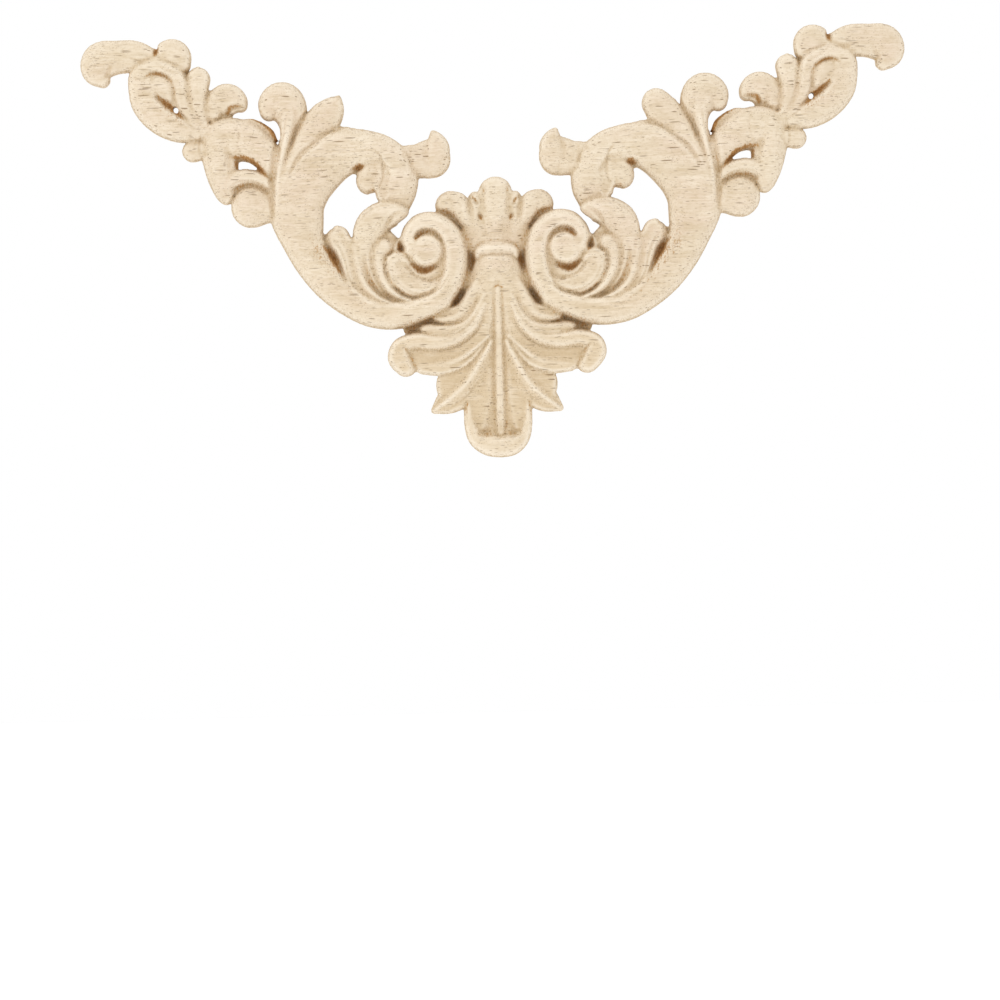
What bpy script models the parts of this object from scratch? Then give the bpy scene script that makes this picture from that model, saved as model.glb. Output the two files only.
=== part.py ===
"""Carved wooden corner onlay: a pierced, flat-backed acanthus ornament that is glued into a corner.

The onlay is one solid. It is drawn on the sheet of the carver: x runs across, y runs up, and the height
stands off the flat back, all in drawing units of which a leg of the corner holds 150. Each motif is a
ridge laid along a crest line, and the height at a place is that of the ridge that stands highest there.
The drawing shows the left arm, x below zero, and the right arm is its mirror image, but for one leaf.
In the world x runs across, z runs up and the front faces -y, so that the flat back lies on y = 0.
"""
import math

import bmesh
import bpy
import numpy as np

# Driving dimensions, in metres
LEG = 0.150                      # from the point of the centre leaf to the tip of an arm
LEG_UNITS = 150.0                # the same length on the drawing
UNIT = LEG / LEG_UNITS

# The sheet, in drawing units
HALF_WIDTH = 112.0
BOTTOM = -60.5
TOP = 58.5
GRID = 0.45                      # spacing of the points at which the relief is worked out
POINTS_PER_UNIT = 3.0            # density of the points along a crest line
SMOOTHING = 0.42                 # radius over which the cutter rounds the relief
LOWEST = 1.2                     # no pocket goes nearer to the back than this
CREASE_LOWEST = 2.2              # nor does the groove beside a ridge
FAR = 99.0                       # off every stroke
MARGIN = 0.5                     # how far beyond its edge the grid round a stroke is worked out

# The halves aren't quite mirror images: at each height, how much nearer to the middle sits what lies beside
# it, first on the left and then on the right
LEFT_SHIFTS = [(-16, 0.0), (-8, 0.45), (0, 0.3), (8, 0.0)]
RIGHT_SHIFTS = [
    (-42, 1.6), (-33, 1.45), (-25, 0.4), (-16, 0.5), (-8, 0.85), (0, 0.85), (12, 0.75), (20, 0.0),
]
SHIFT_RISE = (0.0, 12.0)         # the shift grows over this stretch away from the middle
SHIFT_FADE = (27.0, 37.0)        # and is gone beyond this one
OUTLINE_TOLERANCE = 0.035        # how far the cut outline may leave the true one
TRIANGLES = 9400                 # what the finished solid is thinned down to

WOOD_COLOUR = (0.80, 0.66, 0.46, 1.0)
WOOD_ROUGHNESS = 0.72

# Profiles of a ridge, from 1 at its crest to 0 at its foot, over the share of its half width
RIDGE_PROFILES = {
    "full": lambda share: np.maximum(1 - share ** 2.6, 0) ** 0.7,
    "block": lambda share: np.maximum(1 - share ** 6, 0) ** 0.6,
    "round": lambda share: np.sqrt(np.maximum(1 - share ** 2, 0)),
    "soft": lambda share: 1 - share ** 2,
    "roof": lambda share: 1 - share,
}
# Profiles of a groove or a bead, over the share of its half width
GROOVE_PROFILES = {
    "gouge": lambda share: 0.5 + 0.5 * np.cos(math.pi * share),
    "flat": lambda share: np.maximum(1 - share ** 4, 0),
}


def smooth_line(knots):
    """Closely spaced rows along a smooth curve through the knots; every column is carried along."""
    knots = np.array(knots, float)
    first = 2 * knots[0] - knots[1]
    last = 2 * knots[-1] - knots[-2]
    rows = np.vstack([first, knots, last])
    pieces = []
    for before, start, end, after in zip(rows, rows[1:], rows[2:], rows[3:]):
        pairs = ((before, start), (start, end), (end, after))
        spans = [max(float(np.hypot(*(b - a)[:2])), 1e-4) ** 0.5 for a, b in pairs]
        t0, t1, t2, t3 = np.cumsum([0.0] + spans)
        count = max(2, int(math.hypot(*(end - start)[:2]) * POINTS_PER_UNIT) + 1)
        t = np.linspace(t1, t2, count, endpoint=False)[:, None]
        lower = ((t1 - t) * before + (t - t0) * start) / (t1 - t0)
        middle = ((t2 - t) * start + (t - t1) * end) / (t2 - t1)
        upper = ((t3 - t) * end + (t - t2) * after) / (t3 - t2)
        left = ((t2 - t) * lower + (t - t0) * middle) / (t2 - t0)
        right = ((t3 - t) * middle + (t - t1) * upper) / (t3 - t1)
        pieces.append(((t2 - t) * left + (t - t1) * right) / (t2 - t1))
    pieces.append(knots[-1:])
    return np.vstack(pieces)


class Relief:
    """Heights and outline over a grid that covers the left arm."""

    def __init__(self, grid):
        self.grid = grid
        columns = int(round(HALF_WIDTH / grid))
        rows = int(round((TOP - BOTTOM) / grid))
        self.across = np.arange(-columns, 1) * grid
        self.up = BOTTOM + np.arange(rows + 1) * grid
        self.x, self.y = np.meshgrid(self.across, self.up)
        self.height = np.zeros_like(self.x)
        self.inside = np.full_like(self.x, -FAR)       # distance to the outline, above zero on the wood

    def follow(self, line, left, right, carried, reach):
        """For the grid near the line: share of the half width, side, the half width, carried columns."""
        low = line[:, :2].min(axis=0) - reach
        high = line[:, :2].max(axis=0) + reach
        i0, i1 = np.searchsorted(self.across, (low[0], high[0]))
        j0, j1 = np.searchsorted(self.up, (low[1], high[1]))
        window = (slice(j0, j1), slice(i0, i1))
        x, y = self.x[window], self.y[window]
        share = np.full(x.shape, FAR)
        width = np.ones(x.shape)
        on_left = np.zeros(x.shape, bool)
        values = np.zeros(x.shape + (carried.shape[1],))
        for i in range(len(line) - 1):
            start = line[i, :2]
            run = line[i + 1, :2] - start
            dx, dy = x - start[0], y - start[1]
            t = np.clip((dx * run[0] + dy * run[1]) / max(run @ run, 1e-9), 0, 1)
            distance = np.hypot(dx - t * run[0], dy - t * run[1])
            left_here = run[0] * dy - run[1] * dx > 0
            half_left = left[i] + t * (left[i + 1] - left[i])
            half_right = right[i] + t * (right[i + 1] - right[i])
            half = np.where(left_here, half_left, half_right)
            half = np.maximum(half, 0.02)
            nearer = distance / half < share
            share = np.where(nearer, distance / half, share)
            width = np.where(nearer, half, width)
            on_left = np.where(nearer, left_here, on_left)
            values[nearer] = (carried[i] + t[..., None] * (carried[i + 1] - carried[i]))[nearer]
        return window, share, on_left, width, values

    def ridge(self, knots, foot=3.8, profile="full", hollow=0.0, crease=(0.0, 0.0), instead=False):
        """Lay a ridge: knots hold x, y, left and right half width, crest height.

        foot is the height at its edges, hollow how far its flanks sag, and crease the width and depth of
        the groove that sets it off from what lies below. instead replaces what was there.
        """
        line = smooth_line(knots)
        feet = foot if isinstance(foot, tuple) else (foot, foot)
        profiles = profile if isinstance(profile, tuple) else (profile, profile)
        hollows = hollow if isinstance(hollow, tuple) else (hollow, hollow)
        reach = line[:, 2:4].max() + crease[0] + MARGIN
        found = self.follow(line, line[:, 2], line[:, 3], line[:, 4:5], reach)
        window, share, on_left, width, crest = found
        crest = crest[..., 0]
        within = np.minimum(share, 1)
        flanks = []
        for low, name, sag in zip(feet, profiles, hollows):
            flank = low + (crest - low) * RIDGE_PROFILES[name](within)
            flanks.append(flank - sag * np.sin(math.pi * within) ** 2)
        surface = np.where(on_left, flanks[0], flanks[1])
        height = self.height[window]
        if crease[0]:
            away = np.clip((share - 1) * width / crease[0], 0, 1)
            depth = crease[1] * np.clip(width / (2 * crease[0]), 0, 1)       # it runs out at a thin end
            lowered = np.maximum(height - depth * (1 - away) ** 2, np.minimum(height, CREASE_LOWEST))
            height = np.where(share > 1, lowered, height)
        laid = surface if instead else np.maximum(height, surface)
        self.height[window] = np.where(share < 1, laid, height)
        self.inside[window] = np.maximum(self.inside[window], (1 - share) * width)

    def ground(self, *knots):
        """Low wood between the ridges: knots hold x, y, half width, height."""
        rows = [(x, y, half, half, height) for x, y, half, height in knots]
        self.ridge(rows, foot=rows[0][4] - 0.5, profile="soft")

    def carve(self, knots, profile="gouge", sign=-1):
        """Take out a groove, or with sign 1 add a bead: knots hold x, y, half width, depth."""
        line = smooth_line(knots)
        reach = line[:, 2].max() + MARGIN
        window, share, _, _, depth = self.follow(line, line[:, 2], line[:, 2], line[:, 3:4], reach)
        self.height[window] += sign * depth[..., 0] * GROOVE_PROFILES[profile](np.minimum(share, 1))

    def pierce(self, knots):
        """Cut a slot right through: knots hold x, y, half width."""
        line = smooth_line(knots)
        reach = line[:, 2].max() + 3 * MARGIN
        window, share, _, width, _ = self.follow(line, line[:, 2], line[:, 2], line[:, 2:3], reach)
        self.inside[window] = np.minimum(self.inside[window], (share - 1) * width)

    def blur(self, field, radius):
        count = int(3 * radius / self.grid) + 1
        shifts = range(-count, count + 1)
        weights = [math.exp(-0.5 * (shift * self.grid / radius) ** 2) for shift in shifts]
        padded = np.pad(field, count, mode="reflect")
        for axis in (0, 1):
            padded = sum(weight * np.roll(padded, shift, axis) for shift, weight in zip(shifts, weights))
        return padded[count:-count, count:-count] / sum(weights) ** 2

    def finish(self, radius):
        """Round the outline, and the heights within it, so that the empty ground doesn't lower them."""
        self.height = np.maximum(self.height, LOWEST)
        self.inside = self.blur(np.clip(self.inside, -2, 2), radius)
        wood = (self.inside > -self.grid).astype(float)
        spread = self.blur(wood, radius)
        smoothed = self.blur(self.height * wood, radius) / np.maximum(spread, 1e-6)
        self.height = np.where(wood > 0, smoothed, LOWEST)


def lay_ground(relief):
    """The low ground that joins the motifs."""
    # between the crown, the collar, the stem and the volute
    relief.ground(
        (-10.8, 5.2, 1.4, 2.4), (-8, 4, 2.2, 2.4), (-7.4, -2, 2.2, 2.4), (-7.4, -6, 2.2, 3.0),
        (-8.4, -10.6, 2.4, 5.0), (-10.5, -15, 3.2, 2.8), (-14, -18, 3.2, 2.6),
    )
    # inside the volute
    relief.ground((-18.6, -3.4, 8.6, 6.6), (-19.6, -4.4, 8.6, 6.6))
    relief.ground((-26.4, -0.6, 1.6, 4.6), (-25.4, -2.4, 1.6, 4.6))
    # behind the fluted leaf
    relief.ground((-46, -0.5, 3.2, 2.6), (-43, -6, 4.4, 3.0), (-37, -12, 5, 4.2), (-28, -13, 4, 4.2))
    relief.ground(
        (-29.9, 2.4, 1.6, 4.6), (-27.4, -0.8, 1.6, 4.0), (-30.5, -4, 3.2, 4.2), (-30, -10, 3.6, 4.2),
    )
    # between the volute and the centre leaf
    relief.ground(
        (-23.7, -23.2, 1.7, 2.2), (-19, -21.4, 2.6, 2.4), (-14, -21.5, 3.4, 3.6), (-8, -19, 5, 4.2),
    )
    relief.ground((-21, -24.6, 1.2, 2.6), (-14, -24.8, 1.6, 3.6))
    relief.ground((-15.5, -12.4, 1.6, 5.4), (-20, -15.2, 1.6, 5.4), (-26, -16, 1.8, 5.2), (-33, -16, 2, 5.0))
    # beside the drop of the great scroll
    relief.ground((-30.6, 22.8, 2.8, 7.0), (-29.8, 17.4, 2.8, 6.8), (-30.2, 12.6, 1.7, 5.8))
    relief.ground((-37.4, 20.3, 1.7, 3.4), (-34.5, 20.6, 2.4, 3.6))
    # under the tip scroll and the lobes round it
    relief.ground(
        (-91, 44.6, 3.2, 5.7), (-89, 41, 5.2, 5.7), (-86, 40, 5.8, 5.3), (-83.5, 38, 4.2, 5.1),
        (-79, 34.5, 2.8, 5.0),
    )
    relief.ground((-89.6, 51.8, 1.6, 3.0), (-92, 51, 2, 4.6))
    relief.ground((-77.2, 36.0, 1.7, 3.8), (-75.6, 40.4, 1.4, 3.8))
    relief.ground((-74, 34, 1.8, 3.6), (-70.8, 35.2, 1.2, 3.2))
    relief.ground((-82.2, 45.6, 1.2, 3.8), (-82.2, 43.4, 1.6, 4.6), (-81, 40, 1.6, 4.8))
    # round the second scroll
    relief.ground((-76.5, 27.4, 1.6, 3.8), (-81, 27.6, 1.2, 3.8))
    relief.ground((-71.2, 14.2, 1.2, 3.6), (-66, 15.6, 1.6, 3.8), (-60.5, 13.4, 1.8, 4.2))
    relief.ground((-60.6, 19.4, 1.9, 4.2), (-58.5, 15, 2.4, 4.6))
    relief.ground((-70.9, 24.4, 1.7, 5.4), (-71.0, 18, 1.7, 5.4))
    relief.ground((-69.4, 20.4, .8, 3.6), (-69.1, 23.2, 1.0, 3.6), (-66.0, 23.4, 1.0, 3.6),
                  (-63.4, 21.3, 1.0, 3.4), (-61.4, 19.0, 1.2, 3.4))
    relief.ground((-53.6, 28, 1.8, 4.4), (-51, 33, 1.6, 4.0))


def lay_great_scroll(relief):
    """The volute and the band that grows out of it, over the arm and back down to the fishtail."""
    band = [
        # x, y, outer and inner half width, crest
        (-20.4, -3.4, 2.8, 2.6, 8.5),
        (-23.0, -2.0, 2.9, 3.0, 8.3),
        (-23.8, 1.0, 2.1, 2.1, 8.2),
        (-22.4, 3.9, 2.1, 2.1, 8.2),
        (-19.8, 5.4, 2.3, 2.4, 8.4),
        (-16.0, 5.3, 2.4, 3.0, 8.5),
        (-12.9, 2.6, 2.8, 3.1, 8.6),
        (-11.4, -1.4, 3.3, 3.3, 8.7),
        (-11.3, -6.0, 3.2, 3.4, 9.0),
        (-12.3, -11.0, 3.3, 3.5, 9.0),
        (-15.2, -15.6, 3.2, 3.3, 9.0),
        (-20.4, -18.4, 2.9, 3.7, 8.7),
        (-27.0, -19.6, 3.5, 3.9, 8.5),
        (-33.5, -19.0, 3.5, 4.2, 8.2),
        (-39.5, -16.0, 3.6, 4.8, 7.9),
        (-45.0, -11.5, 3.8, 5.4, 7.6),
        (-49.5, -5.8, 4.0, 6.2, 7.4),
        (-53.2, 0.4, 3.9, 7.2, 7.2),
        (-56.0, 6.5, 4.0, 9.9, 7.2),
        (-56.2, 12, 4.6, 10.6, 7.2),
        (-54.4, 18, 5.5, 11.4, 7.4),
        (-50.8, 23.2, 5.0, 11.8, 7.6),
        (-45.6, 26.4, 3.8, 10.6, 7.8),
        (-39.6, 27.2, 3.6, 8.4, 8.0),
        (-34.2, 26.2, 3.9, 6.0, 8.0),
        (-30.0, 24.4, 4.3, 3.2, 8.0),
        (-26.9, 21.4, 4.6, 2.9, 8.0),
        (-25.4, 17.8, 4.8, 3.4, 7.8),
        (-25.6, 14.2, 4.6, 4.7, 7.0),
        (-26.8, 10.8, 4.2, 4.4, 5.8),
    ]
    relief.ridge(band, foot=(3.5, 3.8), profile=("round", "block"))
    eye = [(-19.4, -2.7, 4.3, 4.3, 8.6), (-18.7, -2.4, 4.3, 4.3, 8.6)]
    relief.ridge(eye, foot=5.6, profile="block")
    beside_eye = [(-14.6, -0.5, 1.0, 6.9), (-13.9, -4.0, 1.4, 7.2), (-14.1, -7.6, 1.4, 7.2)]
    relief.ground(*beside_eye)


def lay_crest_leaves(relief, pointed):
    """The curled lobe and the leaf that spring from the back of the scroll."""
    curled_lobe = [
        (-58.4, 14, .6, .6, 6.6), (-57.2, 20, 1.5, 1.5, 7.2), (-55.8, 27, 1.7, 1.7, 7.2),
        (-54.9, 32, 2.6, 2.6, 7.0), (-54.6, 36.0, 4.7, 4.7, 6.8), (-56.4, 38.2, 5.3, 5.3, 6.8),
        (-58.8, 37.6, 4.0, 4.0, 6.2), (-59.9, 35.8, 2.6, 2.6, 5.6),
    ]
    relief.ridge(curled_lobe, foot=3.6)
    leaf = [
        (-57.3, 11, .3, .3, 6.6), (-56.0, 18, .7, .7, 7.0), (-52.8, 24.8, 1.8, 1.9, 7.0),
        (-48.8, 29.8, 3.6, 3.6, 6.8),
        (-45.6, 32.9, 4.6, 4.4, 6.6),
    ]
    relief.carve([(-53.4, 37.0, 1.0, .1), (-52.6, 33.6, 1.5, .4), (-54.0, 29, 1.3, .5), (-56, 22, .9, .3)])
    if pointed:
        leaf += [(-43.2, 35.6, 3.5, 3.2, 6.2), (-41.6, 38.2, 1.3, 1.2, 5.2), (-41.2, 39.2, .5, .5, 4.4)]
    else:
        leaf += [(-43.5, 35.7, 3.9, 3.9, 6.4)]
    relief.ridge(leaf, foot=(3.8, 4.6), crease=(0.8, 0.6))
    edge_groove = [
        (-57.4, 32.6, .6, .2), (-58.2, 27, 1.1, .7), (-59.0, 22, 1.3, 1.0), (-59.5, 16, 1.4, 1.1),
        (-59.6, 11, 1.2, 1.0), (-59.4, 7.4, .8, .5),
    ]
    relief.carve(edge_groove)
    relief.carve([
        (-40.2, 30.9, .9, .7), (-44, 29.7, 1.2, .9), (-48, 26.9, 1.3, .9), (-51.7, 23.8, 1.2, .7),
        (-54.6, 19, .8, .3),
    ])


def lay_drop_and_fishtail(relief):
    """The drop that hangs into the eye of the scroll, and the fishtail at the end of its band."""
    drop = [
        (-33.6, 23.6, 1.2, 1.2, 6.6), (-33.3, 20.8, 3.2, 2.6, 6.9), (-33.6, 17.9, 3.4, 3.4, 6.8),
        (-33.7, 16.4, 3.1, 3.4, 6.4),
    ]
    relief.ridge(drop, foot=4.4, crease=(0.8, 0.35))
    blade = [(-25.5, 22.0, 3.8, 4.2, 6.8), (-20.5, 21.6, 4.5, 4.5, 6.0), (-17.0, 22.2, 5.2, 5.2, 5.8)]
    relief.ridge(blade)
    barb = [
        (-17.4, 22.0, 4.7, 4.7, 5.8), (-15.4, 24.9, 3.4, 3.4, 5.8), (-15.9, 27.6, 1.6, 1.9, 5.2),
        (-16.4, 29.0, .7, .7, 4.6),
    ]
    relief.ridge(barb)
    relief.carve([
        (-17.2, 27.4, .7, .2), (-18.4, 24.6, 1.4, .5), (-18.2, 21.0, 1.4, .35), (-17, 18.6, .8, .1),
    ])


def lay_fluted_leaf(relief):
    """The half leaf inside the scroll: bodies of the lobes, then a flute with a sharp back on each."""
    tall_body = [
        (-30.4, -14.6, 1.8, 1.6, 5.8), (-33.8, -9.6, 2.4, 2.2, 6.6), (-35.0, -5, 2.8, 2.8, 6.9),
        (-35.0, 0, 3.5, 3.8, 7.1), (-33.2, 4.8, 4.2, 4.2, 7.3), (-29.8, 7.7, 3.4, 4.2, 7.4),
        (-26.4, 8.0, 2.3, 3.0, 7.2), (-24.4, 7.8, 1.2, 1.3, 6.4),
    ]
    relief.ridge(tall_body, foot=(5.2, 4.2), hollow=(0.0, 0.3), crease=(0.8, 0.5))
    far_body = [
        (-35, -14, 2.4, 2.4, 5.2), (-40, -6, 3.0, 3.0, 5.6), (-42, -1, 3.3, 3.3, 5.8),
        (-42.3, 1.0, 3.4, 3.4, 5.8),
    ]
    relief.ridge(far_body)
    small_body = [
        (-27, -13.8, 2, 2, 5.6), (-30.6, -9, 2.2, 2.2, 5.8), (-31, -4, 2.2, 2.2, 5.8),
        (-29.5, -0.9, 2.4, 2.4, 5.8),
    ]
    relief.ridge(small_body, foot=4.0)
    relief.carve([(-24.9, 8.2, .5, .3), (-27.4, 6.9, .8, .8), (-28.9, 4.9, .9, .9), (-29.5, 2.8, .8, .4)])
    far_flute = [
        (-29.6, -17.4, .5, .8, 6.9), (-33.6, -16.2, .8, 1.4, 7.0), (-36.8, -14.0, 1.0, 2.0, 6.9),
        (-38.9, -10.8, 1.2, 2.6, 6.8), (-39.9, -7, 1.7, 2.8, 6.7), (-40.8, -3, 2.0, 3.0, 6.6),
        (-41.8, -0.2, 2.6, 3.4, 6.5), (-42.4, 1.5, 2.5, 3.3, 6.2),
    ]
    relief.ridge(far_flute, foot=(3.2, 5.8), profile=("block", "soft"), hollow=(0.2, 0.3))
    middle_vein = [
        (-28.0, -16.4, .6, .6, 7.2), (-31.6, -14.8, 1.2, .8, 7.3), (-34.7, -11.9, 1.6, 1.0, 7.2),
        (-36.3, -8.4, 1.7, 1.1, 7.0), (-37.1, -4.6, 1.6, 1.2, 6.9), (-37.5, -1.0, 1.2, 1.0, 6.7),
    ]
    relief.ridge(middle_vein, foot=(5.9, 5.6), profile="soft")
    relief.carve([
        (-35.4, -3.0, .8, .3), (-35.0, -7.0, 1.1, .9), (-33.6, -11.0, 1.1, 1.2), (-31.0, -13.9, .9, 1.1),
        (-27.6, -15.7, .6, .6),
    ])
    small_flute = [
        (-23.2, -15.7, .5, .5, 7.7), (-26.2, -14.7, .8, .8, 7.7), (-29.0, -12.4, 1.3, 1.2, 7.5),
        (-31.0, -9, 1.6, 1.5, 7.3), (-31.8, -5, 1.7, 1.8, 7.1), (-31.3, -2.4, 2.0, 2.0, 7.0),
        (-30.3, -1.2, 2.3, 2.3, 6.9),
    ]
    relief.ridge(small_flute, foot=4.6, crease=(0.8, 0.8))
    near_flute = [
        (-15.0, -10.4, .3, .8, 7.0), (-17.6, -12.8, .6, 2.2, 7.7), (-21.2, -13.6, .8, 3.6, 7.9),
        (-24.7, -12.7, .9, 4.2, 7.9), (-27.3, -10.4, 1.0, 4.4, 7.8), (-28.5, -7.6, 1.1, 4.2, 7.7),
        (-28.0, -5.2, 1.2, 3.4, 7.6), (-26.4, -4.4, 1.1, 2.4, 7.5), (-24.6, -5.0, 1.0, 1.4, 7.4),
    ]
    relief.ridge(
        near_flute, foot=(4.6, 6.7), profile=("round", "soft"), hollow=(0.0, 0.2), crease=(0.7, 1.0)
    )


def lay_second_scroll(relief):
    """The folded scroll beyond the great one, with the lobes round its opening."""
    strap = [
        (-54, 16, 4, 3.2, 6.8), (-57.6, 20.8, 4.0, 3.3, 6.9), (-62.0, 25.4, 4.4, 4.0, 7.0),
        (-66.8, 28.4, 5.3, 5.0, 7.0), (-70.8, 28.8, 5.3, 5.4, 6.9), (-72.6, 28.6, 5.1, 5.2, 6.8),
    ]
    relief.ridge(strap, foot=4.2)
    fold = [
        (-72.4, 29.2, 4.4, 4.6, 6.4), (-73.6, 26.4, 4.7, 4.9, 6.6), (-74.0, 22.6, 4.2, 3.9, 6.6),
        (-73.2, 18.0, 3.4, 3.4, 6.3), (-72.2, 14.2, 2.6, 2.6, 5.6), (-71.9, 13.2, 2.1, 2.1, 5.2),
    ]
    relief.ridge(fold, foot=4.0, profile=("full", "soft"), crease=(0.5, 0.5))
    bevel = [
        (-67, 33.0, .6, 4.8), (-65, 33.1, .8, 4.6), (-62.4, 32.2, .8, 4.4), (-60.1, 30.6, .8, 4.2),
        (-58.3, 28.5, .9, 4.0),
    ]
    relief.ground(*bevel)
    side_lobe = [(-77.6, 25.9, 2.4, 2.4, 5.4), (-80.5, 25.5, 2.85, 2.85, 5.2)]
    relief.ridge(side_lobe, foot=3.6)
    slim_lobe = [
        (-58.5, 14.2, .8, .8, 5.8), (-62, 17.3, 1.6, 1.7, 6.1), (-65.8, 18.4, 1.9, 2.0, 6.2),
        (-69.2, 17.8, 2.1, 2.2, 6.2), (-71.4, 16.4, 1.8, 2.0, 6.0),
    ]
    relief.ridge(slim_lobe, foot=4.2, crease=(0.4, 0.2))
    ball_lobe = [(-56, 9.6, 3.4, 3.4, 6.4), (-61.4, 9.8, 3.9, 3.9, 6.2), (-65.2, 10.2, 5.4, 5.4, 6.6)]
    relief.ridge(ball_lobe, crease=(0.8, 0.9))


def lay_tip(relief):
    """The scroll at the end of the arm, its eye, and the leaf and lobes round it."""
    band = [
        (-74.5, 31.0, 2.0, 1.2, 5.8), (-79.2, 30.8, 2.6, 2.4, 6.2), (-84, 31.9, 3.8, 4.0, 6.6),
        (-88.6, 34.4, 4.3, 4.8, 6.8), (-92.3, 38.4, 4.2, 4.8, 6.8), (-94.2, 42.6, 3.1, 4.0, 6.6),
        (-94.0, 46.2, 2.9, 3.0, 6.2), (-91.6, 48.6, 2.0, 2.4, 6.2), (-88, 48.6, 1.6, 2.4, 6.4),
        (-84.6, 46.4, 1.8, 2.4, 6.4), (-82.8, 42.6, 2.0, 2.4, 6.4), (-82.0, 38.4, 2.0, 2.4, 6.2),
        (-79.6, 34.6, 1.8, 1.8, 6.0), (-76.8, 31.6, 1.2, 1.2, 5.8),
    ]
    relief.ridge(band, foot=(3.8, 5.2), profile=("full", "block"))
    end_leaf = [
        (-89.4, 49.4, 1.6, 1.6, 6.0), (-91.4, 50.6, 2.6, 2.6, 5.9), (-93.6, 51.2, 3.0, 3.4, 5.8),
        (-96, 51.2, 4.0, 4.3, 5.8), (-100.5, 51.0, 4.3, 4.5, 5.6), (-104.6, 50.2, 4.9, 4.9, 5.6),
        (-105.9, 47.7, 3.8, 3.8, 5.5), (-104.3, 45.2, 2.1, 2.1, 5.0),
    ]
    relief.ridge(end_leaf, foot=3.6)
    relief.carve([
        (-96.2, 50.2, .7, .2), (-93.6, 49.6, 1.3, .6), (-90.8, 50.8, 1.3, .6), (-89.6, 52, .8, .4),
    ])
    relief.carve([(-101.4, 49.6, .6, .1), (-102.2, 47.6, .9, .45), (-103.2, 45.4, .8, .4)])
    top_lobe = [
        (-88.0, 51.0, 1.8, 1.8, 5.8), (-86.6, 51.6, 3.6, 3.6, 6.1), (-84.9, 51.2, 4.2, 4.2, 6.2),
        (-83.4, 49.0, 2.8, 2.8, 5.7),
    ]
    relief.ridge(top_lobe, crease=(0.5, 0.5))
    finger_lobe = [
        (-76.4, 31.4, .8, .8, 5.8), (-78.4, 35, 2.4, 2.0, 6.1), (-79.0, 40, 3.0, 2.5, 6.2),
        (-78.5, 44.8, 3.2, 3.0, 6.2),
    ]
    relief.ridge(finger_lobe, foot=4.4)
    round_lobe = [
        (-74.6, 35.2, 2.4, 1.7, 5.4), (-74.0, 38.2, 2.9, 2.9, 5.8), (-71.2, 39.2, 4.2, 4.2, 5.9),
        (-68.6, 38.7, 2.9, 2.7, 5.8), (-67.6, 37.6, 1.9, 1.9, 5.2),
    ]
    relief.ridge(round_lobe, crease=(0.4, 0.3))
    relief.carve([
        (-82.2, 44.6, .9, .2), (-81.4, 41.0, 1.4, .5), (-80.6, 37.0, 1.2, .5), (-78.6, 33.4, .6, .2),
    ])
    eye = [
        (-90.6, 42.8, 2.8, 2.6, 6.4), (-89.2, 43.2, 3.1, 2.9, 6.6), (-87.7, 42.4, 2.8, 2.8, 6.7),
        (-86.3, 39.6, 1.0, 1.1, 6.2),
    ]
    relief.ridge(eye, foot=5.2, profile="soft", crease=(0.5, 0.2))


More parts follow.
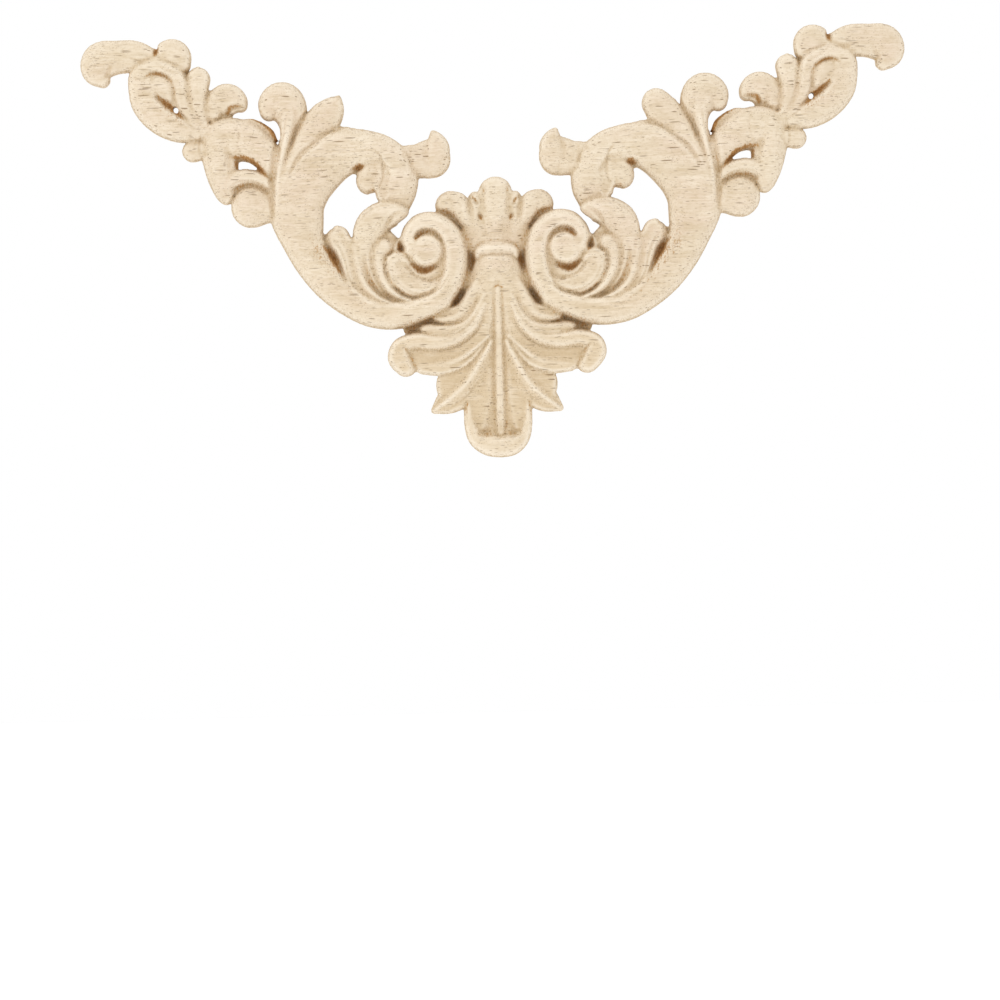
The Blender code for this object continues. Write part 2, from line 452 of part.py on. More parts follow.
def lay_centre_leaf(relief):
    """The acanthus leaf that points down: its tongue and, on either side, four lobes."""
    tongue = [
        (0, -16, 5.0, 5.0, 4.8), (0, -30, 9.0, 9.0, 4.8), (0, -42, 9.7, 9.7, 4.4),
        (0, -48.2, 9.75, 9.75, 4.2),
    ]
    relief.ridge(tongue, foot=4.0, profile="soft")
    lip = [
        (-8.5, -43.4, .8, .8, 4.4), (-8.2, -48.6, 1.4, 1.5, 5.0), (-6.4, -52.4, 1.8, 2.5, 5.8),
        (-3.4, -54.2, 2.4, 3.2, 6.3), (0, -54.7, 2.6, 3.3, 6.5), (1, -54.7, 2.6, 3.3, 6.5),
    ]
    relief.ridge(lip, foot=(3.8, 4.2))
    relief.ground((-6, -33, 4.5, 4.6), (-11.4, -38.6, 5.6, 4.4))
    pointed_lobe = [
        (-2, -27, 3, 3, 5.8), (-5.4, -33, 4.5, 4.5, 6.2), (-8.6, -37.8, 4.9, 4.8, 6.2),
        (-13, -41.8, 4.0, 3.6, 5.7), (-17.6, -45.0, 1.0, .9, 4.8),
    ]
    relief.ridge(pointed_lobe, foot=(4.0, 3.6), profile="roof", hollow=(0.4, 0.8))
    shoulder = [(-9, -35.6, 2.4, 2.4, 4.8), (-13.0, -38.2, 3.1, 3.1, 4.4), (-14.9, -40.8, 1.5, 1.5, 4.2)]
    relief.ridge(shoulder, profile="soft")
    curled_hollow = [
        (-4.4, -22.4, 2.4, 2.4, 6.0), (-6.6, -26.3, 3.2, 3.2, 5.4), (-11.5, -29.8, 4.4, 4.1, 5.0),
        (-17.5, -31, 4.6, 4.8, 4.8), (-21.8, -30.4, 4.2, 4.2, 4.8),
    ]
    relief.ridge(curled_hollow, foot=(5.6, 6.0), profile="soft", crease=(0.5, 0.4), instead=True)
    curled_rim = [
        (-3.4, -17, .9, .9, 7.2), (-6.6, -22.4, 1.6, 1.6, 7.2), (-11.5, -25.9, 2.0, 2.2, 7.0),
        (-17.5, -27.1, 2.2, 2.6, 6.8), (-22.8, -26.8, 2.0, 2.4, 6.5), (-25.8, -28.2, 2.7, 2.8, 6.5),
        (-26.3, -30.8, 3.4, 3.4, 6.4), (-25.0, -32.8, 3.1, 3.1, 6.0),
    ]
    relief.ridge(curled_rim, foot=(4.4, 4.9), profile=("full", "block"), crease=(0.6, 0.3))
    lower_rim = [
        (-2.6, -25.6, .5, .5, 5.8), (-6, -28.6, .9, .9, 6.0), (-11, -31.8, 1.6, 1.2, 5.8),
        (-16, -33.4, 2.3, 1.7, 5.6), (-20.3, -33.6, 1.8, 1.3, 5.3),
    ]
    relief.ridge(lower_rim, foot=(4.9, 4.2), profile=("soft", "full"))
    upper_lobe = [
        (-3.6, -14.6, 1.2, 1.2, 7.2), (-6.4, -19.8, 1.7, 1.7, 7.0), (-10.4, -23.2, 1.6, 1.7, 6.8),
        (-15, -23.8, 1.5, 1.6, 6.4), (-19.8, -23.2, 1.3, 1.4, 5.6),
    ]
    relief.ridge(upper_lobe, foot=4.6, crease=(0.5, 0.4))
    top_lobe = [
        (-4.8, -9.6, 1.4, 1.4, 6.9), (-6.4, -13.2, 2.0, 1.8, 7.0), (-8.4, -16.8, 2.6, 2.0, 6.9),
        (-11.2, -19.4, 2.4, 2.2, 6.8), (-14.2, -20.2, 1.9, 1.9, 6.3), (-16.6, -20.3, 1.1, 1.2, 5.4),
    ]
    relief.ridge(top_lobe, foot=(4.6, 4.8), crease=(0.4, 0.25))
    relief.carve([(-9.6, -16.2, .9, .2), (-11.6, -18.8, 1.3, .7), (-14.6, -19.8, 1.1, .5)])


def lay_stem_and_midrib(relief):
    """The stem that flares into the centre leaf, and the rib down it between two gouged lines."""
    stem = [
        (0, -3, 5.4, 5.4, 7.9), (0, -6, 5.9, 5.9, 7.9), (0, -10, 7.4, 7.4, 7.7),
        (0, -14, 8.6, 8.6, 7.2), (0, -18, 7.4, 7.4, 6.6), (0, -22, 5.0, 5.0, 5.8),
        (0, -27, 3.0, 3.0, 4.7),
    ]
    relief.ridge(stem, foot=4.4)
    relief.carve([
        (0, -11.6, 1.5, .5), (0, -18, 2.2, 1.2), (0, -30, 2.9, 1.5), (0, -45, 3.3, 1.3),
        (0, -50.4, 3.2, 1.7),
    ])
    midrib = [
        (0, -13.2, .8, .9), (0, -18, .9, 1.3), (0, -30, 1.15, 1.9), (0, -46, 1.25, 1.8),
        (0, -51.0, 1.2, 1.6),
    ]
    relief.carve(midrib, profile="flat", sign=1)


def lay_crown_and_collar(relief):
    """The small palmette above the centre, and the roll that binds it to the leaf."""
    body = [(0, 0, 8.0, 8.0, 6.6), (0, 3.4, 9.4, 9.4, 6.4), (0, 5.4, 8.0, 8.0, 6.2)]
    relief.ridge(body, foot=4.4)
    side_petal = [
        (-6.8, 4.6, 2.0, 2.0, 6.2), (-8.4, 6.8, 3.0, 2.4, 6.5), (-10.6, 9.2, 3.9, 3.8, 6.3),
        (-12.0, 9.2, 4.1, 4.2, 5.9),
    ]
    relief.ridge(side_petal, crease=(0.6, 0.3))
    middle_petal = [(0, 2, 2.6, 2.6, 6.6), (0, 8, 3.6, 3.6, 6.8), (0, 12.4, 4.6, 4.6, 6.4)]
    relief.ridge(middle_petal, foot=4.8, crease=(0.6, 0.2))
    small_petal = [(-4.6, 9.6, 2.2, 2.2, 5.8), (-5.4, 11.2, 1.9, 1.9, 5.4)]
    relief.ridge(small_petal)
    relief.carve([(-3.2, 14.6, 1.0, .3), (-3.8, 10, 1.5, .5), (-4.0, 6, 1.8, .6), (-3.2, 2, 1.6, .3)])
    relief.carve([(-7.4, 12.8, .8, .3), (-7.2, 8.6, 1.3, .6), (-6.6, 4.6, 1.3, .3)])
    roll = [
        (-5.5, -4.0, .9, .9, 6.9), (-4.6, -2.9, 1.3, 1.3, 7.6), (-2.7, -2.3, 1.5, 1.5, 8.2),
        (0, -2.1, 1.55, 1.55, 8.5), (1, -2.1, 1.55, 1.55, 8.5),
    ]
    relief.ridge(roll, foot=5.6, profile="round", crease=(0.9, 1.0))


def carve_pockets(relief):
    """The deep places that the cutter left between the motifs, from the centre out to the tip."""
    pockets = [
        [(-6.7, -3.6, 1.0, 1.3), (-7.3, -7.4, 1.0, 1.3)],
        [(-9.8, -13.6, 1.3, 2.5), (-11.3, -16.2, 1.6, 3.0)],
        [(-5.0, 9.6, .5, 1.2), (-5.6, 10.9, .5, 1.2)],
        [(-4.1, 6.1, .7, 1.8), (-4.5, 6.7, .6, 1.4)],
        [(-7.4, 13.6, .8, 1.2), (-6.6, 11.2, .7, .8)],
        [(-3.8, 15.0, .6, .6), (-3.4, 12.6, .6, .4)],
        [(-15.6, 8.1, .8, 1.2), (-12.8, 7.2, 1.1, 2.4), (-10.6, 5.0, .9, 1.6)],
        [(-5.8, -51.4, 1.2, .7), (-3.8, -51.2, 1.6, 1.0), (-2.8, -48.6, 1.4, .5), (-2.6, -44.0, .9, .2)],
        [(-9.1, -42.8, .5, .5), (-9.3, -45.0, .5, .5)],
        [(-24.6, -28.6, .5, .5), (-23.4, -31.4, .9, 1.0), (-22.2, -34.4, .7, 1.0)],
        [(-23.2, -23.3, 1.5, 1.0), (-18.0, -20.6, 1.1, 1.6)],
        [(-22.9, -6.0, .8, 1.6), (-20.3, -7.7, 1.4, 2.8), (-16.9, -6.8, .9, 1.6)],
        [(-22.2, 0.4, .5, .4), (-20.9, 1.9, .8, 1.4), (-18.6, 2.6, .8, 1.0), (-16.2, 1.8, .7, .6),
         (-14.6, -1.0, .5, .2)],
        [(-26.2, 0.4, .8, 1.5), (-25.8, -1.8, 1.5, 4.0)],
        [(-45.6, -0.6, .9, 1.2), (-44.0, -2.8, 1.6, 2.4), (-42.4, -5.6, 1.2, 1.6), (-40.6, -10, .8, .6)],
        [(-37.8, 19.6, .9, 1.4), (-36.3, 20.1, 1.2, 2.4), (-34.9, 20.5, .6, .5)],
        [(-22.6, 24.6, .6, .2), (-22.4, 21.6, .9, .4), (-21.6, 18.2, .6, .3)],
        [(-71.6, 32.0, 1.6, .1), (-71.8, 27, 1.8, .3), (-71.0, 23.6, 1.4, .5)],
        [(-71.2, 35.2, 1.0, 1.4), (-70.2, 36.4, 1.2, 1.6), (-68.6, 36.9, 1.1, 1.4), (-66.8, 36.8, .9, .9)],
        [(-81.9, 46.7, .9, 1.2), (-81.6, 45.0, .6, .5)],
        [(-89.6, 40.0, .9, 1.6), (-86.8, 37.7, 1.4, 2.8), (-83.2, 34.9, .9, 1.8), (-81.0, 33.2, .5, .6)],
        [(-92.8, 45.0, .5, .3), (-91, 46.3, .7, .8), (-88, 45.9, .7, .9), (-85.7, 44.2, .6, .4)],
        [(-89.5, 52.9, .9, 1.8), (-89.8, 51.8, .9, 1.2)],
    ]
    for pocket in pockets:
        relief.carve(pocket)


def pierce_openings(relief):
    """The small openings; the large ones are where no motif lies."""
    relief.pierce([(-67.4, 21.7, .95), (-65.8, 21.5, .75), (-63.8, 20.5, .4)])
    relief.pierce([(-84.9, 36.8, .7), (-84.6, 36.3, .7)])
    relief.pierce([(-89.7, 57, .9), (-89.7, 54.8, .55), (-89.6, 53.3, .4)])
    relief.pierce([(-21.4, 9.2, .9), (-23.5, 6.5, .62), (-25.6, 4.6, .9)])
    relief.pierce([(-59.6, 32.3, .6), (-58.2, 31.2, .9), (-57.5, 28.4, .5)])


def draw_arm(pointed):
    """One arm with its half of the centre."""
    relief = Relief(GRID)
    lay_ground(relief)
    lay_second_scroll(relief)
    lay_great_scroll(relief)
    lay_crest_leaves(relief, pointed)
    lay_drop_and_fishtail(relief)
    lay_fluted_leaf(relief)
    lay_tip(relief)
    lay_centre_leaf(relief)
    lay_stem_and_midrib(relief)
    lay_crown_and_collar(relief)
    carve_pockets(relief)
    pierce_openings(relief)
    relief.finish(SMOOTHING)
    return relief


def ramp(value, stretch):
    """0 before the stretch and 1 beyond it, with a soft change between."""
    low, high = stretch
    share = np.clip((value - low) / (high - low), 0, 1)
    return share * share * (3 - 2 * share)


def shifted(relief, field, shifts):
    """An arm's field with what lies beside the middle moved nearer to it."""
    beside = ramp(-relief.across, SHIFT_RISE) * (1 - ramp(-relief.across, SHIFT_FADE))
    moved = np.empty_like(field)
    for row, shift in enumerate(np.interp(relief.up, *np.transpose(shifts))):
        moved[row] = np.interp(relief.across - shift * beside, relief.across, field[row])
    return moved


def draw_onlay():
    """Both arms side by side: the grid's lines, the heights and the distance to the outline."""
    left = draw_arm(pointed=True)
    right = draw_arm(pointed=False)
    across = np.hstack([left.across, -right.across[-2::-1]])
    height, inside = (
        np.hstack([shifted(left, a, LEFT_SHIFTS), shifted(right, b, RIGHT_SHIFTS)[:, -2::-1]])
        for a, b in ((left.height, right.height), (left.inside, right.inside))
    )
    return across, left.up, height, inside


def trace_outline(across, up, inside):
    """Closed loops of points where inside crosses zero, found cell by cell."""
    crossings = {}
    links = {}

    def crossing(a, b):
        """The crossing between two neighbouring grid points, by row and column."""
        key = (a, b) if a < b else (b, a)
        if key not in crossings:
            (j0, i0), (j1, i1) = key
            f0, f1 = inside[j0, i0], inside[j1, i1]
            t = f0 / (f0 - f1)
            crossings[key] = (across[i0] + t * (across[i1] - across[i0]), up[j0] + t * (up[j1] - up[j0]))
        return key

    wood = inside > 0
    mixed = wood[:-1, :-1].astype(int) + wood[1:, :-1] + wood[:-1, 1:] + wood[1:, 1:]
    for j, i in zip(*np.nonzero((mixed > 0) & (mixed < 4))):
        corners = [(j, i), (j, i + 1), (j + 1, i + 1), (j + 1, i)]
        found = [
            crossing(a, b) for a, b in zip(corners, corners[1:] + corners[:1]) if wood[a] != wood[b]
        ]
        if len(found) == 4 and inside[j:j + 2, i:i + 2].mean() > 0 and wood[corners[0]]:
            found = found[1:] + found[:1]
        elif len(found) == 4 and inside[j:j + 2, i:i + 2].mean() <= 0 and not wood[corners[0]]:
            found = found[1:] + found[:1]
        for a, b in zip(found[::2], found[1::2]):
            links.setdefault(a, []).append(b)
            links.setdefault(b, []).append(a)
    loops = []
    while links:
        start = next(iter(links))
        loop = [start]
        here = start
        while links.get(here):
            step = links[here].pop()
            links[step].remove(here)
            if not links[here]:
                del links[here]
            here = step
            loop.append(here)
        links = {key: value for key, value in links.items() if value}
        loops.append(np.array([crossings[key] for key in loop[:-1]]))
    return loops


def thin_line(points, tolerance):
    """The points that a line needs to stay within the tolerance of the full one."""
    if len(points) < 3:
        return points
    run = points[-1] - points[0]
    length = max(float(np.hypot(*run)), 1e-9)
    offset = points - points[0]
    if length > 1e-6:
        distance = np.abs(run[0] * offset[:, 1] - run[1] * offset[:, 0]) / length
    else:
        distance = np.hypot(offset[:, 0], offset[:, 1])
    worst = int(distance.argmax())
    if distance[worst] <= tolerance:
        return points[[0, -1]]
    first = thin_line(points[:worst + 1], tolerance)
    second = thin_line(points[worst:], tolerance)
    return np.vstack([first[:-1], second])


def thin_loop(points, tolerance):
    """The same for a closed loop, which is cut in two at the point furthest from its first."""
    far = int(np.hypot(*(points - points[0]).T).argmax())
    first = thin_line(points[:far + 1], tolerance)
    second = thin_line(np.vstack([points[far:], points[:1]]), tolerance)
    return np.vstack([first[:-1], second[:-1]])


def clear_scene():
    for item in list(bpy.data.objects):
        bpy.data.objects.remove(item, do_unlink=True)


def new_collection(name):
    collection = bpy.data.collections.new(name)
    bpy.context.scene.collection.children.link(collection)
    return collection


def move_to(item, collection):
    for owner in list(item.users_collection):
        owner.objects.unlink(item)
    collection.objects.link(item)


def make_wood():
    wood = bpy.data.materials.new("bare_rubberwood")
    wood.use_nodes = True
    shader = wood.node_tree.nodes["Principled BSDF"]
    shader.inputs["Base Color"].default_value = WOOD_COLOUR
    shader.inputs["Roughness"].default_value = WOOD_ROUGHNESS
    shader.inputs["Metallic"].default_value = 0.0
    return wood


def make_relief_slab(across, up, height, collection):
    """A slab with a flat back at local z = 0 and the relief on top, not yet cut to its outline."""
    columns, rows = len(across), len(up)
    bpy.ops.mesh.primitive_grid_add(x_subdivisions=columns - 1, y_subdivisions=rows - 1, size=1.0)
    slab = bpy.context.object
    slab.name = "corner_onlay"
    slab.data.name = "corner_onlay"
    places = np.empty(columns * rows * 3)
    slab.data.vertices.foreach_get("co", places)
    places = places.reshape(-1, 3)
    column = np.rint((places[:, 0] + 0.5) * (columns - 1)).astype(int)
    row = np.rint((places[:, 1] + 0.5) * (rows - 1)).astype(int)
    places[:, 0] = across[column]
    places[:, 1] = up[row]
    places[:, 2] = height[row, column]
    slab.data.vertices.foreach_set("co", (places * UNIT).ravel())

    body = bmesh.new()
    body.from_mesh(slab.data)
    front = list(body.faces)
    back = bmesh.ops.extrude_face_region(body, geom=front, use_keep_orig=True)
    for vertex in (item for item in back["geom"] if isinstance(item, bmesh.types.BMVert)):
        vertex.co.z = 0.0
    bmesh.ops.recalc_face_normals(body, faces=body.faces)
    body.to_mesh(slab.data)
    body.free()
    move_to(slab, collection)
    return slab


def make_outline_cutter(loops, height, collection):
    """The outline with its openings, extruded well past both faces of the slab."""
    sheet = bpy.data.curves.new("outline", "CURVE")
    sheet.dimensions = "2D"
    sheet.fill_mode = "BOTH"
    sheet.extrude = height
    for loop in loops:
        spline = sheet.splines.new("POLY")
        spline.points.add(len(loop) - 1)
        for point, (x, y) in zip(spline.points, loop * UNIT):
            point.co = (x, y, 0.0, 1.0)
        spline.use_cyclic_u = True
    curve = bpy.data.objects.new("outline_curve", sheet)
    collection.objects.link(curve)
    mesh = bpy.data.meshes.new_from_object(curve.evaluated_get(bpy.context.evaluated_depsgraph_get()))
    body = bmesh.new()
    body.from_mesh(mesh)
    bmesh.ops.remove_doubles(body, verts=body.verts, dist=1e-6)
    bmesh.ops.recalc_face_normals(body, faces=body.faces)
    body.to_mesh(mesh)
    body.free()
    cutter = bpy.data.objects.new("outline_cutter", mesh)
    cutter.matrix_world = curve.matrix_world
    cutter.hide_render = True
    cutter.display_type = "WIRE"
    collection.objects.link(cutter)
    bpy.data.objects.remove(curve, do_unlink=True)
    return cutter


def main():
    clear_scene()
    onlay_parts = new_collection("corner_onlay_parts")
    cutters = new_collection("cutters")
    across, up, height, inside = draw_onlay()
    onlay = make_relief_slab(across, up, height, onlay_parts)
    loops = [thin_loop(loop, OUTLINE_TOLERANCE) for loop in trace_outline(across, up, inside)]
    cutter = make_outline_cutter(loops, 2 * height.max() * UNIT, cutters)

    # the sheet stands up: its x runs across, its y up, and its height comes forward, towards -y
    for item in (onlay, cutter):
        item.rotation_euler = (math.pi / 2, 0.0, 0.0)

    cut = onlay.modifiers.new("cut to the outline", "BOOLEAN")
    cut.operation = "INTERSECT"
    cut.solver = "EXACT"
    cut.object = cutter
    bpy.context.view_layer.update()
    dense = onlay.evaluated_get(bpy.context.evaluated_depsgraph_get())
    dense_triangles = sum(len(face.vertices) - 2 for face in dense.data.polygons)
    thin = onlay.modifiers.new("thin out", "DECIMATE")
    thin.decimate_type = "COLLAPSE"
    thin.ratio = TRIANGLES / dense_triangles
    thin.use_collapse_triangulate = True
    onlay.data.materials.append(make_wood())


main()
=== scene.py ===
"""How the carved corner onlay looks: the drawing of its solid, worked out on a finer grid, with the
knife lines, scorched pockets and tool marks of the carving, in bare rubberwood.

x runs across, z up, and the front faces -y. The drawing is in millimetres, on a sheet whose y is the
world's z.
"""
import math

import bmesh
import bpy
import numpy as np
from mathutils import Matrix, Vector, kdtree


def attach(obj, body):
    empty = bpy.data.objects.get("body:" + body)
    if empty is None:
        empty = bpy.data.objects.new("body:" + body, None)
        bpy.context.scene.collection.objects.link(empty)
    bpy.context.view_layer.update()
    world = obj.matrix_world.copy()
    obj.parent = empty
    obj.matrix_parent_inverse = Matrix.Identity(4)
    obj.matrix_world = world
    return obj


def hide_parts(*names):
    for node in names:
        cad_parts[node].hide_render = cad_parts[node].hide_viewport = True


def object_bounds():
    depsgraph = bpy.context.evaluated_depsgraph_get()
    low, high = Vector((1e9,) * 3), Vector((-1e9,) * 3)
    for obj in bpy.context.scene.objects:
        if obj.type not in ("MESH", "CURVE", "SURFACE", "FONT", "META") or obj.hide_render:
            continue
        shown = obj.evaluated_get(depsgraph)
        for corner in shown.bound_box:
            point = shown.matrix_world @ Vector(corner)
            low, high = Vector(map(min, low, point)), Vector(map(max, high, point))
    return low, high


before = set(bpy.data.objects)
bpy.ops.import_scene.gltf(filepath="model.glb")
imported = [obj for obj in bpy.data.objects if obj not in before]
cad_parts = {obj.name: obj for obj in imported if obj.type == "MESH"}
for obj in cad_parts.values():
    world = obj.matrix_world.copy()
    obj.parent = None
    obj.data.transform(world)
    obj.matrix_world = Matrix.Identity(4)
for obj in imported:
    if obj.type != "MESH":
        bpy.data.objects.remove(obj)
cad_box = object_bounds()

# The sheet, in millimetres
UNIT = 0.001
HALF_WIDTH = 112.0
BOTTOM = -60.5
TOP = 58.5
GRID = 0.34                      # spacing of the points at which the relief is worked out
POINTS_PER_UNIT = 3.0            # density of the points along a crest line
SMOOTHING = 0.22                 # radius over which the cutter rounds the relief
LOWEST = 1.2                     # no pocket goes nearer to the back than this
CREASE_LOWEST = 2.2              # nor does the groove beside a ridge
SCORCH_SPREAD = 1.35             # how much wider than its stroke the browned wood fades out
FAR = 99.0                       # off every stroke
MARGIN = 0.5                     # how far beyond its edge the grid round a stroke is worked out
THINNEST = 0.02                  # least half width of a stroke
GROUND_EDGE = 0.5                # how much lower the low ground is at its edges
OUTLINE_REACH = 2.0              # distances to the outline matter only up to here

# The halves aren't quite mirror images: at each height, how much nearer to the middle sits what lies beside
# it, first on the left and then on the right
LEFT_SHIFTS = [(-16, 0.0), (-8, 0.45), (0, 0.3), (8, 0.0)]
RIGHT_SHIFTS = [
    (-42, 1.6), (-33, 1.45), (-25, 0.4), (-16, 0.5), (-8, 0.85), (0, 0.85), (12, 0.75), (20, 0.0),
]
SHIFT_RISE = (0.0, 12.0)         # the shift grows over this stretch away from the middle
SHIFT_FADE = (27.0, 37.0)        # and is gone beyond this one

SNAP = 0.04                      # the outline stays this clear of the grid's points
FRONT_TILT = 0.2                 # a face of the front leans at least this much towards -y
NEAR_HOLLOW = 0.6                # radii over which a place is compared with what lies round it
WIDE_HOLLOW = 2.2
BROAD_HOLLOW = 5.5
HAND_WAVE = 0.035                # unevenness left by the sanding
TOOL_WAVE = 0.012                # and by the cutter
KNIFE_WIDTH = 0.48               # half width of a fine line, and its depth
KNIFE_DEPTH = 0.36
KNIFE_RUN_OUT = 0.1              # its depth at either end
TOOL_PITCH = 0.37                # between two passes of the cutter

# How far below or above its surroundings a place counts as fully hollow or raised for the painted shade and
# highlights, and the full slope
NEAR_DEPTH = 1.0
WIDE_DEPTH = 2.1
BROAD_DEPTH = 3.5
PROUD_HEIGHT = 0.3
FULL_SLOPE = 2.2
LEVEL_GROUND = 0.25              # how low a level place counts


def linear(red, green, blue):
    """A screen colour of 0 to 255 as the light that a shader takes."""
    shares = [value / 255 for value in (red, green, blue)]
    return (*(s / 12.92 if s <= 0.04045 else ((s + 0.055) / 1.055) ** 2.4 for s in shares), 1.0)


# Screen colours of the wood, some of which also serve for the painted highlights and painted shade
IVORY = linear(247, 234, 213)
CREAM = linear(232, 216, 191)
BLUSH = linear(229, 209, 186)
SAND = linear(222, 201, 169)
STRAW = linear(206, 184, 149)
SHADE_HONEY = linear(201, 176, 137)
TAN = linear(184, 157, 116)
BROWN = linear(184, 141, 90)
CHAR = linear(150, 105, 57)
PORE = linear(134, 104, 70)

# The grain, in millimetres
GRAIN_BEND = 3.0                 # how far it wanders up and down
GRAIN_DEPTH = 0.12
PATCH_LIFT = 20                  # how far the patches move the border of the sandier wood
SANDY_BELOW = -26                # fully sandy up to here
SANDY_UP_TO = 16                 # and not at all above here
DASH_EDGE = (0.14, 0.27)         # where a pore's stroke begins to fade and where it ends, in its own cell

# The photograph's view
VIEW_WIDTH = 0.2667              # what it takes in at the onlay
VIEW_DISTANCE = 1.5
VIEW_SHIFT = (0.0009, -0.0693)   # from the middle of the collar to the middle of the picture
MIDDLE_DEPTH = 0.004
SENSOR = 36.0
LEAN = math.radians(1.3)

FLOOR_SIZE = 6.0
FLOOR_HEIGHT = -0.24
WORLD_LIGHT = 1.0
SOFT_LIGHTS = [
    ("key_light", (-0.62, -0.80, 0.55), 0.35, 1.4),
    ("floor_light", (0.0, 2.20, 1.60), 2.0, 16.0),
]

# Profiles of a ridge, from 1 at its crest to 0 at its foot, over the share of its half width
RIDGE_PROFILES = {
    "full": lambda share: np.maximum(1 - share ** 2.6, 0) ** 0.7,
    "block": lambda share: np.maximum(1 - share ** 6, 0) ** 0.6,
    "round": lambda share: np.sqrt(np.maximum(1 - share ** 2, 0)),
    "soft": lambda share: 1 - share ** 2,
    "roof": lambda share: 1 - share,
}
# Profiles of a groove or a bead, over the share of its half width
GROOVE_PROFILES = {
    "gouge": lambda share: 0.5 + 0.5 * np.cos(math.pi * share),
    "flat": lambda share: np.maximum(1 - share ** 4, 0),
}


def smooth_line(knots):
    """Closely spaced rows along a smooth curve through the knots; every column is carried along."""
    knots = np.array(knots, float)
    first = 2 * knots[0] - knots[1]
    last = 2 * knots[-1] - knots[-2]
    rows = np.vstack([first, knots, last])
    pieces = []
    for before, start, end, after in zip(rows, rows[1:], rows[2:], rows[3:]):
        pairs = ((before, start), (start, end), (end, after))
        spans = [max(float(np.hypot(*(b - a)[:2])), 1e-4) ** 0.5 for a, b in pairs]
        t0, t1, t2, t3 = np.cumsum([0.0] + spans)
        count = max(2, int(math.hypot(*(end - start)[:2]) * POINTS_PER_UNIT) + 1)
        t = np.linspace(t1, t2, count, endpoint=False)[:, None]
        lower = ((t1 - t) * before + (t - t0) * start) / (t1 - t0)
        middle = ((t2 - t) * start + (t - t1) * end) / (t2 - t1)
        upper = ((t3 - t) * end + (t - t2) * after) / (t3 - t2)
        left = ((t2 - t) * lower + (t - t0) * middle) / (t2 - t0)
        right = ((t3 - t) * middle + (t - t1) * upper) / (t3 - t1)
        pieces.append(((t2 - t) * left + (t - t1) * right) / (t2 - t1))
    pieces.append(knots[-1:])
    return np.vstack(pieces)


